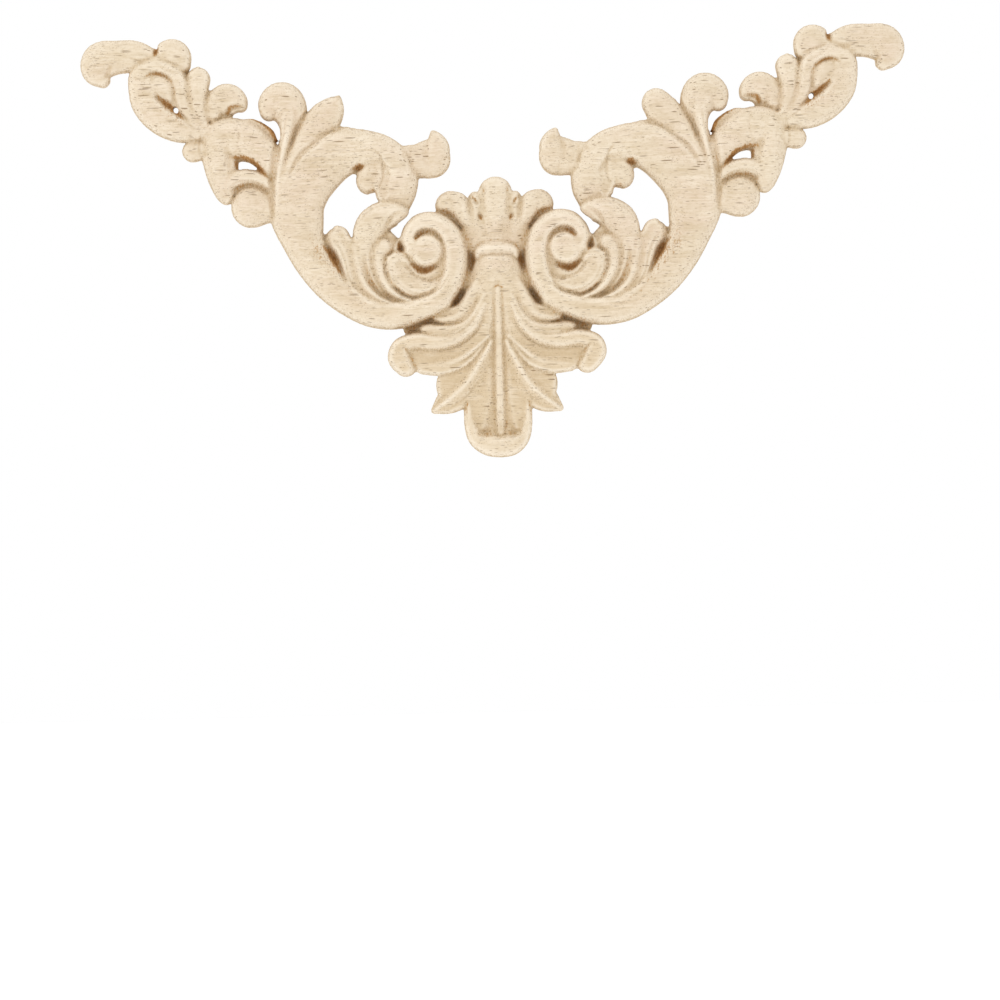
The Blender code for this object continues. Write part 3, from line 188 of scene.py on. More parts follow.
class Relief:
    """Heights and outline over a grid that covers the left arm."""

    def __init__(self, grid):
        self.grid = grid
        columns = int(round(HALF_WIDTH / grid))
        rows = int(round((TOP - BOTTOM) / grid))
        self.across = np.arange(-columns, 1) * grid
        self.up = BOTTOM + np.arange(rows + 1) * grid
        self.x, self.y = np.meshgrid(self.across, self.up)
        self.height = np.zeros_like(self.x)
        self.inside = np.full_like(self.x, -FAR)       # distance to the outline, above zero on the wood
        self.scorch = np.zeros_like(self.x)            # how far the cutter browned the wood

    def follow(self, line, left, right, carried, reach):
        """The grid near the line, and there: share of the half width, side, half width, carried columns."""
        low = line[:, :2].min(axis=0) - reach
        high = line[:, :2].max(axis=0) + reach
        i0, i1 = np.searchsorted(self.across, (low[0], high[0]))
        j0, j1 = np.searchsorted(self.up, (low[1], high[1]))
        window = (slice(j0, j1), slice(i0, i1))
        x, y = self.x[window], self.y[window]
        share = np.full(x.shape, FAR)
        width = np.ones(x.shape)
        on_left = np.zeros(x.shape, bool)
        values = np.zeros(x.shape + (carried.shape[1],))
        for i in range(len(line) - 1):
            start = line[i, :2]
            run = line[i + 1, :2] - start
            dx, dy = x - start[0], y - start[1]
            t = np.clip((dx * run[0] + dy * run[1]) / max(run @ run, 1e-9), 0, 1)
            distance = np.hypot(dx - t * run[0], dy - t * run[1])
            left_here = run[0] * dy - run[1] * dx > 0
            half_left = left[i] + t * (left[i + 1] - left[i])
            half_right = right[i] + t * (right[i + 1] - right[i])
            half = np.where(left_here, half_left, half_right)
            half = np.maximum(half, THINNEST)
            nearer = distance / half < share
            share = np.where(nearer, distance / half, share)
            width = np.where(nearer, half, width)
            on_left = np.where(nearer, left_here, on_left)
            values[nearer] = (carried[i] + t[..., None] * (carried[i + 1] - carried[i]))[nearer]
        return window, share, on_left, width, values

    def ridge(self, knots, foot=3.8, profile="full", hollow=0.0, crease=(0.0, 0.0), instead=False):
        """Lay a ridge: knots hold x, y, left and right half width, crest height.

        foot is the height at its edges, hollow how far its flanks sag, and crease the width and depth of
        the groove that sets it off from what lies below. instead replaces what was there.
        """
        line = smooth_line(knots)
        feet = foot if isinstance(foot, tuple) else (foot, foot)
        profiles = profile if isinstance(profile, tuple) else (profile, profile)
        hollows = hollow if isinstance(hollow, tuple) else (hollow, hollow)
        reach = line[:, 2:4].max() + crease[0] + MARGIN
        found = self.follow(line, line[:, 2], line[:, 3], line[:, 4:5], reach)
        window, share, on_left, width, crest = found
        crest = crest[..., 0]
        within = np.minimum(share, 1)
        flanks = []
        for low, name, sag in zip(feet, profiles, hollows):
            flank = low + (crest - low) * RIDGE_PROFILES[name](within)
            flanks.append(flank - sag * np.sin(math.pi * within) ** 2)
        surface = np.where(on_left, flanks[0], flanks[1])
        height = self.height[window]
        if crease[0]:
            away = np.clip((share - 1) * width / crease[0], 0, 1)
            depth = crease[1] * np.clip(width / (2 * crease[0]), 0, 1)       # it runs out at a thin end
            lowered = np.maximum(height - depth * (1 - away) ** 2, np.minimum(height, CREASE_LOWEST))
            height = np.where(share > 1, lowered, height)
        laid = surface if instead else np.maximum(height, surface)
        self.height[window] = np.where(share < 1, laid, height)
        self.inside[window] = np.maximum(self.inside[window], (1 - share) * width)

    def ground(self, knots):
        """Low wood between the ridges: knots hold x, y, half width, height."""
        rows = [(x, y, half, half, height) for x, y, half, height in knots]
        self.ridge(rows, foot=rows[0][4] - GROUND_EDGE, profile="soft")

    def carve(self, knots, profile="gouge", sign=-1):
        """Take out a groove, or with sign 1 add a bead: knots hold x, y, half width, depth."""
        line = smooth_line(knots)
        reach = line[:, 2].max() + MARGIN
        window, share, _, _, depth = self.follow(line, line[:, 2], line[:, 2], line[:, 3:4], reach)
        self.height[window] += sign * depth[..., 0] * GROOVE_PROFILES[profile](np.minimum(share, 1))

    def brown(self, knots):
        """Scorch the wood along a stroke: knots hold x, y, half width, strength."""
        line = smooth_line(knots)
        half = SCORCH_SPREAD * line[:, 2]
        window, share, _, _, strength = self.follow(line, half, half, line[:, 3:4], half.max() + MARGIN)
        browned = strength[..., 0] * GROOVE_PROFILES["gouge"](np.minimum(share, 1))
        self.scorch[window] = np.maximum(self.scorch[window], browned)

    def pierce(self, knots):
        """Cut a slot right through: knots hold x, y, half width."""
        line = smooth_line(knots)
        reach = line[:, 2].max() + 3 * MARGIN
        window, share, _, width, _ = self.follow(line, line[:, 2], line[:, 2], line[:, 2:3], reach)
        self.inside[window] = np.minimum(self.inside[window], (share - 1) * width)

    def blur(self, field, radius):
        """The field averaged within about that many millimetres."""
        count = int(3 * radius / self.grid) + 1
        shifts = range(-count, count + 1)
        weights = [math.exp(-0.5 * (shift * self.grid / radius) ** 2) for shift in shifts]
        padded = np.pad(field, count, mode="reflect")
        for axis in (0, 1):
            padded = sum(weight * np.roll(padded, shift, axis) for shift, weight in zip(shifts, weights))
        return padded[count:-count, count:-count] / sum(weights) ** 2

    def finish(self, radius):
        """Round the outline, and the heights within it, so that the empty ground doesn't lower them."""
        self.height = np.maximum(self.height, LOWEST)
        self.inside = self.blur(np.clip(self.inside, -OUTLINE_REACH, OUTLINE_REACH), radius)
        wood = (self.inside > -self.grid).astype(float)
        spread = self.blur(wood, radius)
        smoothed = self.blur(self.height * wood, radius) / np.maximum(spread, 1e-6)
        self.height = np.where(wood > 0, smoothed, LOWEST)


def lay_ground(relief):
    """The low ground that joins the motifs."""
    patches = [
        # between the crown, the collar, the stem and the volute
        [(-10.8, 5.2, 1.4, 2.4), (-8, 4, 2.2, 2.4), (-7.4, -2, 2.2, 2.4), (-7.4, -6, 2.2, 3.0),
         (-8.4, -10.6, 2.4, 5.0), (-10.5, -15, 3.2, 2.8), (-14, -18, 3.2, 2.6)],
        # inside the volute
        [(-18.6, -3.4, 8.6, 6.6), (-19.6, -4.4, 8.6, 6.6)],
        [(-26.4, -0.6, 1.6, 4.6), (-25.4, -2.4, 1.6, 4.6)],
        # behind the fluted leaf
        [(-46, -0.5, 3.2, 2.6), (-43, -6, 4.4, 3.0), (-37, -12, 5, 4.2), (-28, -13, 4, 4.2)],
        [(-29.9, 2.4, 1.6, 4.6), (-27.4, -0.8, 1.6, 4.0), (-30.5, -4, 3.2, 4.2), (-30, -10, 3.6, 4.2)],
        # between the volute and the centre leaf
        [(-23.7, -23.2, 1.7, 2.2), (-19, -21.4, 2.6, 2.4), (-14, -21.5, 3.4, 3.6), (-8, -19, 5, 4.2)],
        [(-21, -24.6, 1.2, 2.6), (-14, -24.8, 1.6, 3.6)],
        [(-15.5, -12.4, 1.6, 5.4), (-20, -15.2, 1.6, 5.4), (-26, -16, 1.8, 5.2), (-33, -16, 2, 5.0)],
        # beside the drop of the great scroll
        [(-30.6, 22.8, 2.8, 7.0), (-29.8, 17.4, 2.8, 6.8), (-30.2, 12.6, 1.7, 5.8)],
        [(-37.4, 20.3, 1.7, 3.4), (-34.5, 20.6, 2.4, 3.6)],
        # under the tip scroll and the lobes round it
        [(-91, 44.6, 3.2, 5.7), (-89, 41, 5.2, 5.7), (-86, 40, 5.8, 5.3), (-83.5, 38, 4.2, 5.1),
         (-79, 34.5, 2.8, 5.0)],
        [(-89.6, 51.8, 1.6, 3.0), (-92, 51, 2, 4.6)],
        [(-77.2, 36.0, 1.7, 3.8), (-75.6, 40.4, 1.4, 3.8)],
        [(-74, 34, 1.8, 3.6), (-70.8, 35.2, 1.2, 3.2)],
        [(-82.2, 45.6, 1.2, 3.8), (-82.2, 43.4, 1.6, 4.6), (-81, 40, 1.6, 4.8)],
        # round the second scroll
        [(-76.5, 27.4, 1.6, 3.8), (-81, 27.6, 1.2, 3.8)],
        [(-71.2, 14.2, 1.2, 3.6), (-66, 15.6, 1.6, 3.8), (-60.5, 13.4, 1.8, 4.2)],
        [(-60.6, 19.4, 1.9, 4.2), (-58.5, 15, 2.4, 4.6)],
        [(-70.9, 24.4, 1.7, 5.4), (-71.0, 18, 1.7, 5.4)],
        [(-69.4, 20.4, .8, 3.6), (-69.1, 23.2, 1.0, 3.6), (-66.0, 23.4, 1.0, 3.6),
         (-63.4, 21.3, 1.0, 3.4), (-61.4, 19.0, 1.2, 3.4)],
        [(-53.6, 28, 1.8, 4.4), (-51, 33, 1.6, 4.0)],
    ]
    for patch in patches:
        relief.ground(patch)


def lay_great_scroll(relief):
    """The volute and the band that grows out of it, over the arm and back down to the fishtail."""
    band = [
        # x, y, outer and inner half width, crest
        (-20.4, -3.4, 2.8, 2.6, 8.5),
        (-23.0, -2.0, 2.9, 3.0, 8.3),
        (-23.8, 1.0, 2.1, 2.1, 8.2),
        (-22.4, 3.9, 2.1, 2.1, 8.2),
        (-19.8, 5.4, 2.3, 2.4, 8.4),
        (-16.0, 5.3, 2.4, 3.0, 8.5),
        (-12.9, 2.6, 2.8, 3.1, 8.6),
        (-11.4, -1.4, 3.3, 3.3, 8.7),
        (-11.3, -6.0, 3.2, 3.4, 8.8),
        (-12.3, -11.0, 3.3, 3.5, 8.8),
        (-15.2, -15.6, 3.2, 3.3, 8.8),
        (-20.4, -18.4, 2.9, 3.7, 8.7),
        (-27.0, -19.6, 3.5, 3.9, 8.5),
        (-33.5, -19.0, 3.5, 4.2, 8.2),
        (-39.5, -16.0, 3.6, 4.8, 7.9),
        (-45.0, -11.5, 3.8, 5.4, 7.6),
        (-49.5, -5.8, 4.0, 6.2, 7.4),
        (-53.2, 0.4, 3.9, 7.2, 7.2),
        (-56.0, 6.5, 4.0, 9.9, 7.2),
        (-56.2, 12, 4.6, 10.6, 7.2),
        (-54.4, 18, 5.5, 11.4, 7.4),
        (-50.8, 23.2, 5.0, 11.8, 7.6),
        (-45.6, 26.4, 3.8, 10.6, 7.8),
        (-39.6, 27.2, 3.6, 8.4, 8.0),
        (-34.2, 26.2, 3.9, 6.0, 8.0),
        (-30.0, 24.4, 4.3, 3.2, 8.0),
        (-26.9, 21.4, 4.6, 2.9, 8.0),
        (-25.4, 17.8, 4.8, 3.4, 7.8),
        (-25.6, 14.2, 4.6, 4.7, 7.0),
        (-26.8, 10.8, 4.2, 4.4, 5.8),
    ]
    relief.ridge(band, foot=(3.5, 3.8), profile=("round", "block"))
    eye = [(-19.4, -2.7, 4.3, 4.3, 8.6), (-18.7, -2.4, 4.3, 4.3, 8.6)]
    relief.ridge(eye, foot=5.6, profile="block")
    beside_eye = [(-14.6, -0.5, 1.0, 6.9), (-13.9, -4.0, 1.4, 7.2), (-14.1, -7.6, 1.4, 7.2)]
    relief.ground(beside_eye)


def lay_crest_leaves(relief, pointed):
    """The curled lobe and the leaf that spring from the back of the scroll."""
    curled_lobe = [
        (-58.4, 14, .6, .6, 6.6), (-57.2, 20, 1.5, 1.5, 7.2), (-55.8, 27, 1.7, 1.7, 7.2),
        (-54.9, 32, 2.6, 2.6, 7.0), (-54.6, 36.0, 4.7, 4.7, 6.8), (-56.4, 38.2, 5.3, 5.3, 6.8),
        (-58.8, 37.6, 4.0, 4.0, 6.2), (-59.9, 35.8, 2.6, 2.6, 5.6),
    ]
    relief.ridge(curled_lobe, foot=3.6)
    leaf = [
        (-57.3, 11, .3, .3, 6.6), (-56.0, 18, .7, .7, 7.0), (-52.8, 24.8, 1.8, 1.9, 7.0),
        (-48.8, 29.8, 3.6, 3.6, 6.8),
        (-45.6, 32.9, 4.6, 4.4, 6.6),
    ]
    relief.carve([(-53.4, 37.0, 1.0, .1), (-52.6, 33.6, 1.5, .4), (-54.0, 29, 1.3, .5), (-56, 22, .9, .3)])
    if pointed:
        leaf += [(-43.2, 35.6, 3.5, 3.2, 6.2), (-41.6, 38.2, 1.3, 1.2, 5.2), (-41.2, 39.2, .5, .5, 4.4)]
    else:
        leaf += [(-43.5, 35.7, 3.9, 3.9, 6.4)]
    relief.ridge(leaf, foot=(3.8, 4.6), crease=(0.8, 0.6))
    edge_groove = [
        (-57.4, 32.6, .6, .2), (-58.2, 27, 1.1, .7), (-59.0, 22, 1.3, 1.0), (-59.5, 16, 1.4, 1.1),
        (-59.6, 11, 1.2, 1.0), (-59.4, 7.4, .8, .5),
    ]
    relief.carve(edge_groove)
    relief.carve([
        (-40.2, 30.9, .9, .7), (-44, 29.7, 1.2, .9), (-48, 26.9, 1.3, .9), (-51.7, 23.8, 1.2, .7),
        (-54.6, 19, .8, .3),
    ])


def lay_drop_and_fishtail(relief):
    """The drop that hangs into the eye of the scroll, and the fishtail at the end of its band."""
    drop = [
        (-33.6, 23.6, 1.2, 1.2, 6.6), (-33.3, 20.8, 3.2, 2.6, 6.9), (-33.6, 17.9, 3.4, 3.4, 6.8),
        (-33.7, 16.4, 3.1, 3.4, 6.4),
    ]
    relief.ridge(drop, foot=4.4, crease=(0.8, 0.35))
    blade = [(-25.5, 22.0, 3.8, 4.2, 6.8), (-20.5, 21.6, 4.5, 4.5, 6.0), (-17.0, 22.2, 5.2, 5.2, 5.8)]
    relief.ridge(blade)
    barb = [
        (-17.4, 22.0, 4.7, 4.7, 5.8), (-15.4, 24.9, 3.4, 3.4, 5.8), (-15.9, 27.6, 1.6, 1.9, 5.2),
        (-16.4, 29.0, .7, .7, 4.6),
    ]
    relief.ridge(barb)
    relief.carve([
        (-17.2, 27.4, .7, .2), (-18.4, 24.6, 1.4, .5), (-18.2, 21.0, 1.4, .35), (-17, 18.6, .8, .1),
    ])


def lay_fluted_leaf(relief):
    """The half leaf inside the scroll: bodies of the lobes, then a flute with a sharp back on each."""
    tall_body = [
        (-30.4, -14.6, 1.8, 1.6, 5.8), (-33.8, -9.6, 2.4, 2.2, 6.6), (-35.0, -5, 2.8, 2.8, 6.9),
        (-35.0, 0, 3.5, 3.8, 7.1), (-33.2, 4.8, 4.2, 4.2, 7.3), (-29.8, 7.7, 3.4, 4.2, 7.4),
        (-26.4, 8.0, 2.3, 3.0, 7.2), (-24.4, 7.8, 1.2, 1.3, 6.4),
    ]
    relief.ridge(tall_body, foot=(5.2, 4.2), hollow=(0.0, 0.3), crease=(0.8, 0.5))
    far_body = [
        (-35, -14, 2.4, 2.4, 5.2), (-40, -6, 3.0, 3.0, 5.6), (-42, -1, 3.3, 3.3, 5.8),
        (-42.3, 1.0, 3.4, 3.4, 5.8),
    ]
    relief.ridge(far_body)
    small_body = [
        (-27, -13.8, 2, 2, 5.6), (-30.6, -9, 2.2, 2.2, 5.8), (-31, -4, 2.2, 2.2, 5.8),
        (-29.5, -0.9, 2.4, 2.4, 5.8),
    ]
    relief.ridge(small_body, foot=4.0)
    relief.carve([(-24.9, 8.2, .5, .3), (-27.4, 6.9, .8, .8), (-28.9, 4.9, .9, .9), (-29.5, 2.8, .8, .4)])
    far_flute = [
        (-29.6, -17.4, .5, .8, 6.9), (-33.6, -16.2, .8, 1.4, 7.0), (-36.8, -14.0, 1.0, 2.0, 6.9),
        (-38.9, -10.8, 1.2, 2.6, 6.8), (-39.9, -7, 1.7, 2.8, 6.7), (-40.8, -3, 2.0, 3.0, 6.6),
        (-41.8, -0.2, 2.6, 3.4, 6.5), (-42.4, 1.5, 2.5, 3.3, 6.2),
    ]
    relief.ridge(far_flute, foot=(3.2, 5.8), profile=("block", "soft"), hollow=(0.2, 0.3))
    middle_vein = [
        (-28.0, -16.4, .6, .6, 7.2), (-31.6, -14.8, 1.2, .8, 7.3), (-34.7, -11.9, 1.6, 1.0, 7.2),
        (-36.3, -8.4, 1.7, 1.1, 7.0), (-37.1, -4.6, 1.6, 1.2, 6.9), (-37.5, -1.0, 1.2, 1.0, 6.7),
    ]
    relief.ridge(middle_vein, foot=(5.9, 5.6), profile="soft")
    relief.carve([
        (-35.4, -3.0, .8, .3), (-35.0, -7.0, 1.1, .9), (-33.6, -11.0, 1.1, 1.2), (-31.0, -13.9, .9, 1.1),
        (-27.6, -15.7, .6, .6),
    ])
    small_flute = [
        (-23.2, -15.7, .5, .5, 7.7), (-26.2, -14.7, .8, .8, 7.7), (-29.0, -12.4, 1.3, 1.2, 7.5),
        (-31.0, -9, 1.6, 1.5, 7.3), (-31.8, -5, 1.7, 1.8, 7.1), (-31.3, -2.4, 2.0, 2.0, 7.0),
        (-30.3, -1.2, 2.3, 2.3, 6.9),
    ]
    relief.ridge(small_flute, foot=4.6, crease=(0.8, 0.8))
    near_flute = [
        (-15.0, -10.4, .3, .8, 7.0), (-17.6, -12.8, .6, 2.2, 7.7), (-21.2, -13.6, .8, 3.6, 7.9),
        (-24.7, -12.7, .9, 4.2, 7.9), (-27.3, -10.4, 1.0, 4.4, 7.8), (-28.5, -7.6, 1.1, 4.2, 7.7),
        (-28.0, -5.2, 1.2, 3.4, 7.6), (-26.4, -4.4, 1.1, 2.4, 7.5), (-24.6, -5.0, 1.0, 1.4, 7.4),
    ]
    relief.ridge(
        near_flute, foot=(4.6, 6.7), profile=("round", "soft"), hollow=(0.0, 0.2), crease=(0.7, 1.0)
    )


def lay_second_scroll(relief):
    """The folded scroll beyond the great one, with the lobes round its opening."""
    strap = [
        (-54, 16, 4, 3.2, 6.8), (-57.6, 20.8, 4.0, 3.3, 6.9), (-62.0, 25.4, 4.4, 4.0, 7.0),
        (-66.8, 28.4, 5.3, 5.0, 7.0), (-70.8, 28.8, 5.3, 5.4, 6.9), (-72.6, 28.6, 5.1, 5.2, 6.8),
    ]
    relief.ridge(strap, foot=4.2)
    fold = [
        (-72.4, 29.2, 4.4, 4.6, 6.4), (-73.6, 26.4, 4.7, 4.9, 6.6), (-74.0, 22.6, 4.2, 3.9, 6.6),
        (-73.2, 18.0, 3.4, 3.4, 6.3), (-72.2, 14.2, 2.6, 2.6, 5.6), (-71.9, 13.2, 2.1, 2.1, 5.2),
    ]
    relief.ridge(fold, foot=4.0, profile=("full", "soft"), crease=(0.5, 0.5))
    bevel = [
        (-67, 33.0, .6, 4.8), (-65, 33.1, .8, 4.6), (-62.4, 32.2, .8, 4.4), (-60.1, 30.6, .8, 4.2),
        (-58.3, 28.5, .9, 4.0),
    ]
    relief.ground(bevel)
    side_lobe = [(-77.6, 25.9, 2.4, 2.4, 5.4), (-80.5, 25.5, 2.85, 2.85, 5.2)]
    relief.ridge(side_lobe, foot=3.6)
    slim_lobe = [
        (-58.5, 14.2, .8, .8, 5.8), (-62, 17.3, 1.6, 1.7, 6.1), (-65.8, 18.4, 1.9, 2.0, 6.2),
        (-69.2, 17.8, 2.1, 2.2, 6.2), (-71.4, 16.4, 1.8, 2.0, 6.0),
    ]
    relief.ridge(slim_lobe, foot=4.2, crease=(0.4, 0.2))
    ball_lobe = [(-56, 9.6, 3.4, 3.4, 6.4), (-61.4, 9.8, 3.9, 3.9, 6.2), (-65.2, 10.2, 5.4, 5.4, 6.6)]
    relief.ridge(ball_lobe, crease=(0.8, 0.9))


def lay_tip(relief):
    """The scroll at the end of the arm, its eye, and the leaf and lobes round it."""
    band = [
        (-74.5, 31.0, 2.0, 1.2, 5.8), (-79.2, 30.8, 2.6, 2.4, 6.2), (-84, 31.9, 3.8, 4.0, 6.6),
        (-88.6, 34.4, 4.3, 4.8, 6.8), (-92.3, 38.4, 4.2, 4.8, 6.8), (-94.2, 42.6, 3.1, 4.0, 6.6),
        (-94.0, 46.2, 2.9, 3.0, 6.2), (-91.6, 48.6, 2.0, 2.4, 6.2), (-88, 48.6, 1.6, 2.4, 6.4),
        (-84.6, 46.4, 1.8, 2.4, 6.4), (-82.8, 42.6, 2.0, 2.4, 6.4), (-82.0, 38.4, 2.0, 2.4, 6.2),
        (-79.6, 34.6, 1.8, 1.8, 6.0), (-76.8, 31.6, 1.2, 1.2, 5.8),
    ]
    relief.ridge(band, foot=(3.8, 5.2), profile=("full", "block"))
    end_leaf = [
        (-89.4, 49.4, 1.6, 1.6, 6.0), (-91.4, 50.6, 2.6, 2.6, 5.9), (-93.6, 51.2, 3.0, 3.4, 5.8),
        (-96, 51.2, 4.0, 4.3, 5.8), (-100.5, 51.0, 4.3, 4.5, 5.6), (-104.6, 50.2, 4.9, 4.9, 5.6),
        (-105.9, 47.7, 3.8, 3.8, 5.5), (-104.3, 45.2, 2.1, 2.1, 5.0),
    ]
    relief.ridge(end_leaf, foot=3.6)
    relief.carve([
        (-96.2, 50.2, .7, .2), (-93.6, 49.6, 1.3, .6), (-90.8, 50.8, 1.3, .6), (-89.6, 52, .8, .4),
    ])
    relief.carve([(-101.4, 49.6, .6, .1), (-102.2, 47.6, .9, .45), (-103.2, 45.4, .8, .4)])
    top_lobe = [
        (-88.0, 51.0, 1.8, 1.8, 5.8), (-86.6, 51.6, 3.6, 3.6, 6.1), (-84.9, 51.2, 4.2, 4.2, 6.2),
        (-83.4, 49.0, 2.8, 2.8, 5.7),
    ]
    relief.ridge(top_lobe, crease=(0.5, 0.5))
    finger_lobe = [
        (-76.4, 31.4, .8, .8, 5.8), (-78.4, 35, 2.4, 2.0, 6.1), (-79.0, 40, 3.0, 2.5, 6.2),
        (-78.5, 44.8, 3.2, 3.0, 6.2),
    ]
    relief.ridge(finger_lobe, foot=4.4)
    round_lobe = [
        (-74.6, 35.2, 2.4, 1.7, 5.4), (-74.0, 38.2, 2.9, 2.9, 5.8), (-71.2, 39.2, 4.2, 4.2, 5.9),
        (-68.6, 38.7, 2.9, 2.7, 5.8), (-67.6, 37.6, 1.9, 1.9, 5.2),
    ]
    relief.ridge(round_lobe, crease=(0.4, 0.3))
    relief.carve([
        (-82.2, 44.6, .9, .2), (-81.4, 41.0, 1.4, .5), (-80.6, 37.0, 1.2, .5), (-78.6, 33.4, .6, .2),
    ])
    eye = [
        (-90.6, 42.8, 2.8, 2.6, 6.4), (-89.2, 43.2, 3.1, 2.9, 6.6), (-87.7, 42.4, 2.8, 2.8, 6.7),
        (-86.3, 39.6, 1.0, 1.1, 6.2),
    ]
    relief.ridge(eye, foot=5.2, profile="soft", crease=(0.5, 0.2))


def lay_centre_leaf(relief):
    """The acanthus leaf that points down: its tongue and, on either side, four lobes."""
    tongue = [
        (0, -16, 5.0, 5.0, 4.8), (0, -30, 9.0, 9.0, 4.8), (0, -42, 9.7, 9.7, 4.4),
        (0, -48.2, 9.75, 9.75, 4.2),
    ]
    relief.ridge(tongue, foot=4.0, profile="soft")
    lip = [
        (-8.5, -43.4, .8, .8, 4.4), (-8.2, -48.6, 1.4, 1.5, 5.0), (-6.4, -52.4, 1.8, 2.5, 5.8),
        (-3.4, -54.2, 2.4, 3.2, 6.3), (0, -54.7, 2.6, 3.3, 6.5), (1, -54.7, 2.6, 3.3, 6.5),
    ]
    relief.ridge(lip, foot=(3.8, 4.2))
    relief.ground([(-6, -33, 4.5, 4.6), (-11.4, -38.6, 5.6, 4.4)])
    pointed_lobe = [
        (-2, -27, 3, 3, 5.8), (-5.4, -33, 4.5, 4.5, 6.2), (-8.6, -37.8, 4.9, 4.8, 6.2),
        (-13, -41.8, 4.0, 3.6, 5.7), (-17.6, -45.0, 1.0, .9, 4.8),
    ]
    relief.ridge(pointed_lobe, foot=(4.0, 3.6), profile="roof", hollow=(0.4, 0.8))
    shoulder = [(-9, -35.6, 2.4, 2.4, 4.8), (-13.0, -38.2, 3.1, 3.1, 4.4), (-14.9, -40.8, 1.5, 1.5, 4.2)]
    relief.ridge(shoulder, profile="soft")
    curled_hollow = [
        (-4.4, -22.4, 2.4, 2.4, 6.0), (-6.6, -26.3, 3.2, 3.2, 5.4), (-11.5, -29.8, 4.4, 4.1, 5.0),
        (-17.5, -31, 4.6, 4.8, 4.8), (-21.8, -30.4, 4.2, 4.2, 4.8),
    ]
    relief.ridge(curled_hollow, foot=(5.6, 6.0), profile="soft", crease=(0.5, 0.4), instead=True)
    curled_rim = [
        (-3.4, -17, .9, .9, 7.2), (-6.6, -22.4, 1.6, 1.6, 7.2), (-11.5, -25.9, 2.0, 2.2, 7.0),
        (-17.5, -27.1, 2.2, 2.6, 6.8), (-22.8, -26.8, 2.0, 2.4, 6.5), (-25.8, -28.2, 2.7, 2.8, 6.5),
        (-26.3, -30.8, 3.4, 3.4, 6.4), (-25.0, -32.8, 3.1, 3.1, 6.0),
    ]
    relief.ridge(curled_rim, foot=(4.4, 4.9), profile=("full", "block"), crease=(0.6, 0.3))
    lower_rim = [
        (-2.6, -25.6, .5, .5, 5.8), (-6, -28.6, .9, .9, 6.0), (-11, -31.8, 1.6, 1.2, 5.8),
        (-16, -33.4, 2.3, 1.7, 5.6), (-20.3, -33.6, 1.8, 1.3, 5.3),
    ]
    relief.ridge(lower_rim, foot=(4.9, 4.2), profile=("soft", "full"))
    upper_lobe = [
        (-3.6, -14.6, 1.2, 1.2, 7.2), (-6.4, -19.8, 1.7, 1.7, 7.0), (-10.4, -23.2, 1.6, 1.7, 6.8),
        (-15, -23.8, 1.5, 1.6, 6.4), (-19.8, -23.2, 1.3, 1.4, 5.6),
    ]
    relief.ridge(upper_lobe, foot=4.6, crease=(0.5, 0.4))
    top_lobe = [
        (-4.8, -9.6, 1.4, 1.4, 6.9), (-6.4, -13.2, 2.0, 1.8, 7.0), (-8.4, -16.8, 2.6, 2.0, 6.9),
        (-11.2, -19.4, 2.4, 2.2, 6.8), (-14.2, -20.2, 1.9, 1.9, 6.3), (-16.6, -20.3, 1.1, 1.2, 5.4),
    ]
    relief.ridge(top_lobe, foot=(4.6, 4.8), crease=(0.4, 0.25))
    relief.carve([(-9.6, -16.2, .9, .2), (-11.6, -18.8, 1.3, .7), (-14.6, -19.8, 1.1, .5)])


def lay_stem_and_midrib(relief):
    """The stem that flares into the centre leaf, and the rib down it between two gouged lines."""
    stem = [
        (0, -3, 5.4, 5.4, 7.9), (0, -6, 5.9, 5.9, 7.9), (0, -10, 7.4, 7.4, 7.7),
        (0, -14, 8.6, 8.6, 7.2), (0, -18, 7.4, 7.4, 6.6), (0, -22, 5.0, 5.0, 5.8),
        (0, -27, 3.0, 3.0, 4.7),
    ]
    relief.ridge(stem, foot=4.4)
    relief.carve([
        (0, -11.6, 1.5, .5), (0, -18, 2.2, 1.2), (0, -30, 2.9, 1.5), (0, -45, 3.3, 1.3),
        (0, -50.4, 3.2, 1.7),
    ])
    midrib = [
        (0, -13.2, .8, .9), (0, -18, .9, 1.3), (0, -30, 1.15, 1.9), (0, -46, 1.25, 1.8),
        (0, -51.0, 1.2, 1.6),
    ]
    relief.carve(midrib, profile="flat", sign=1)


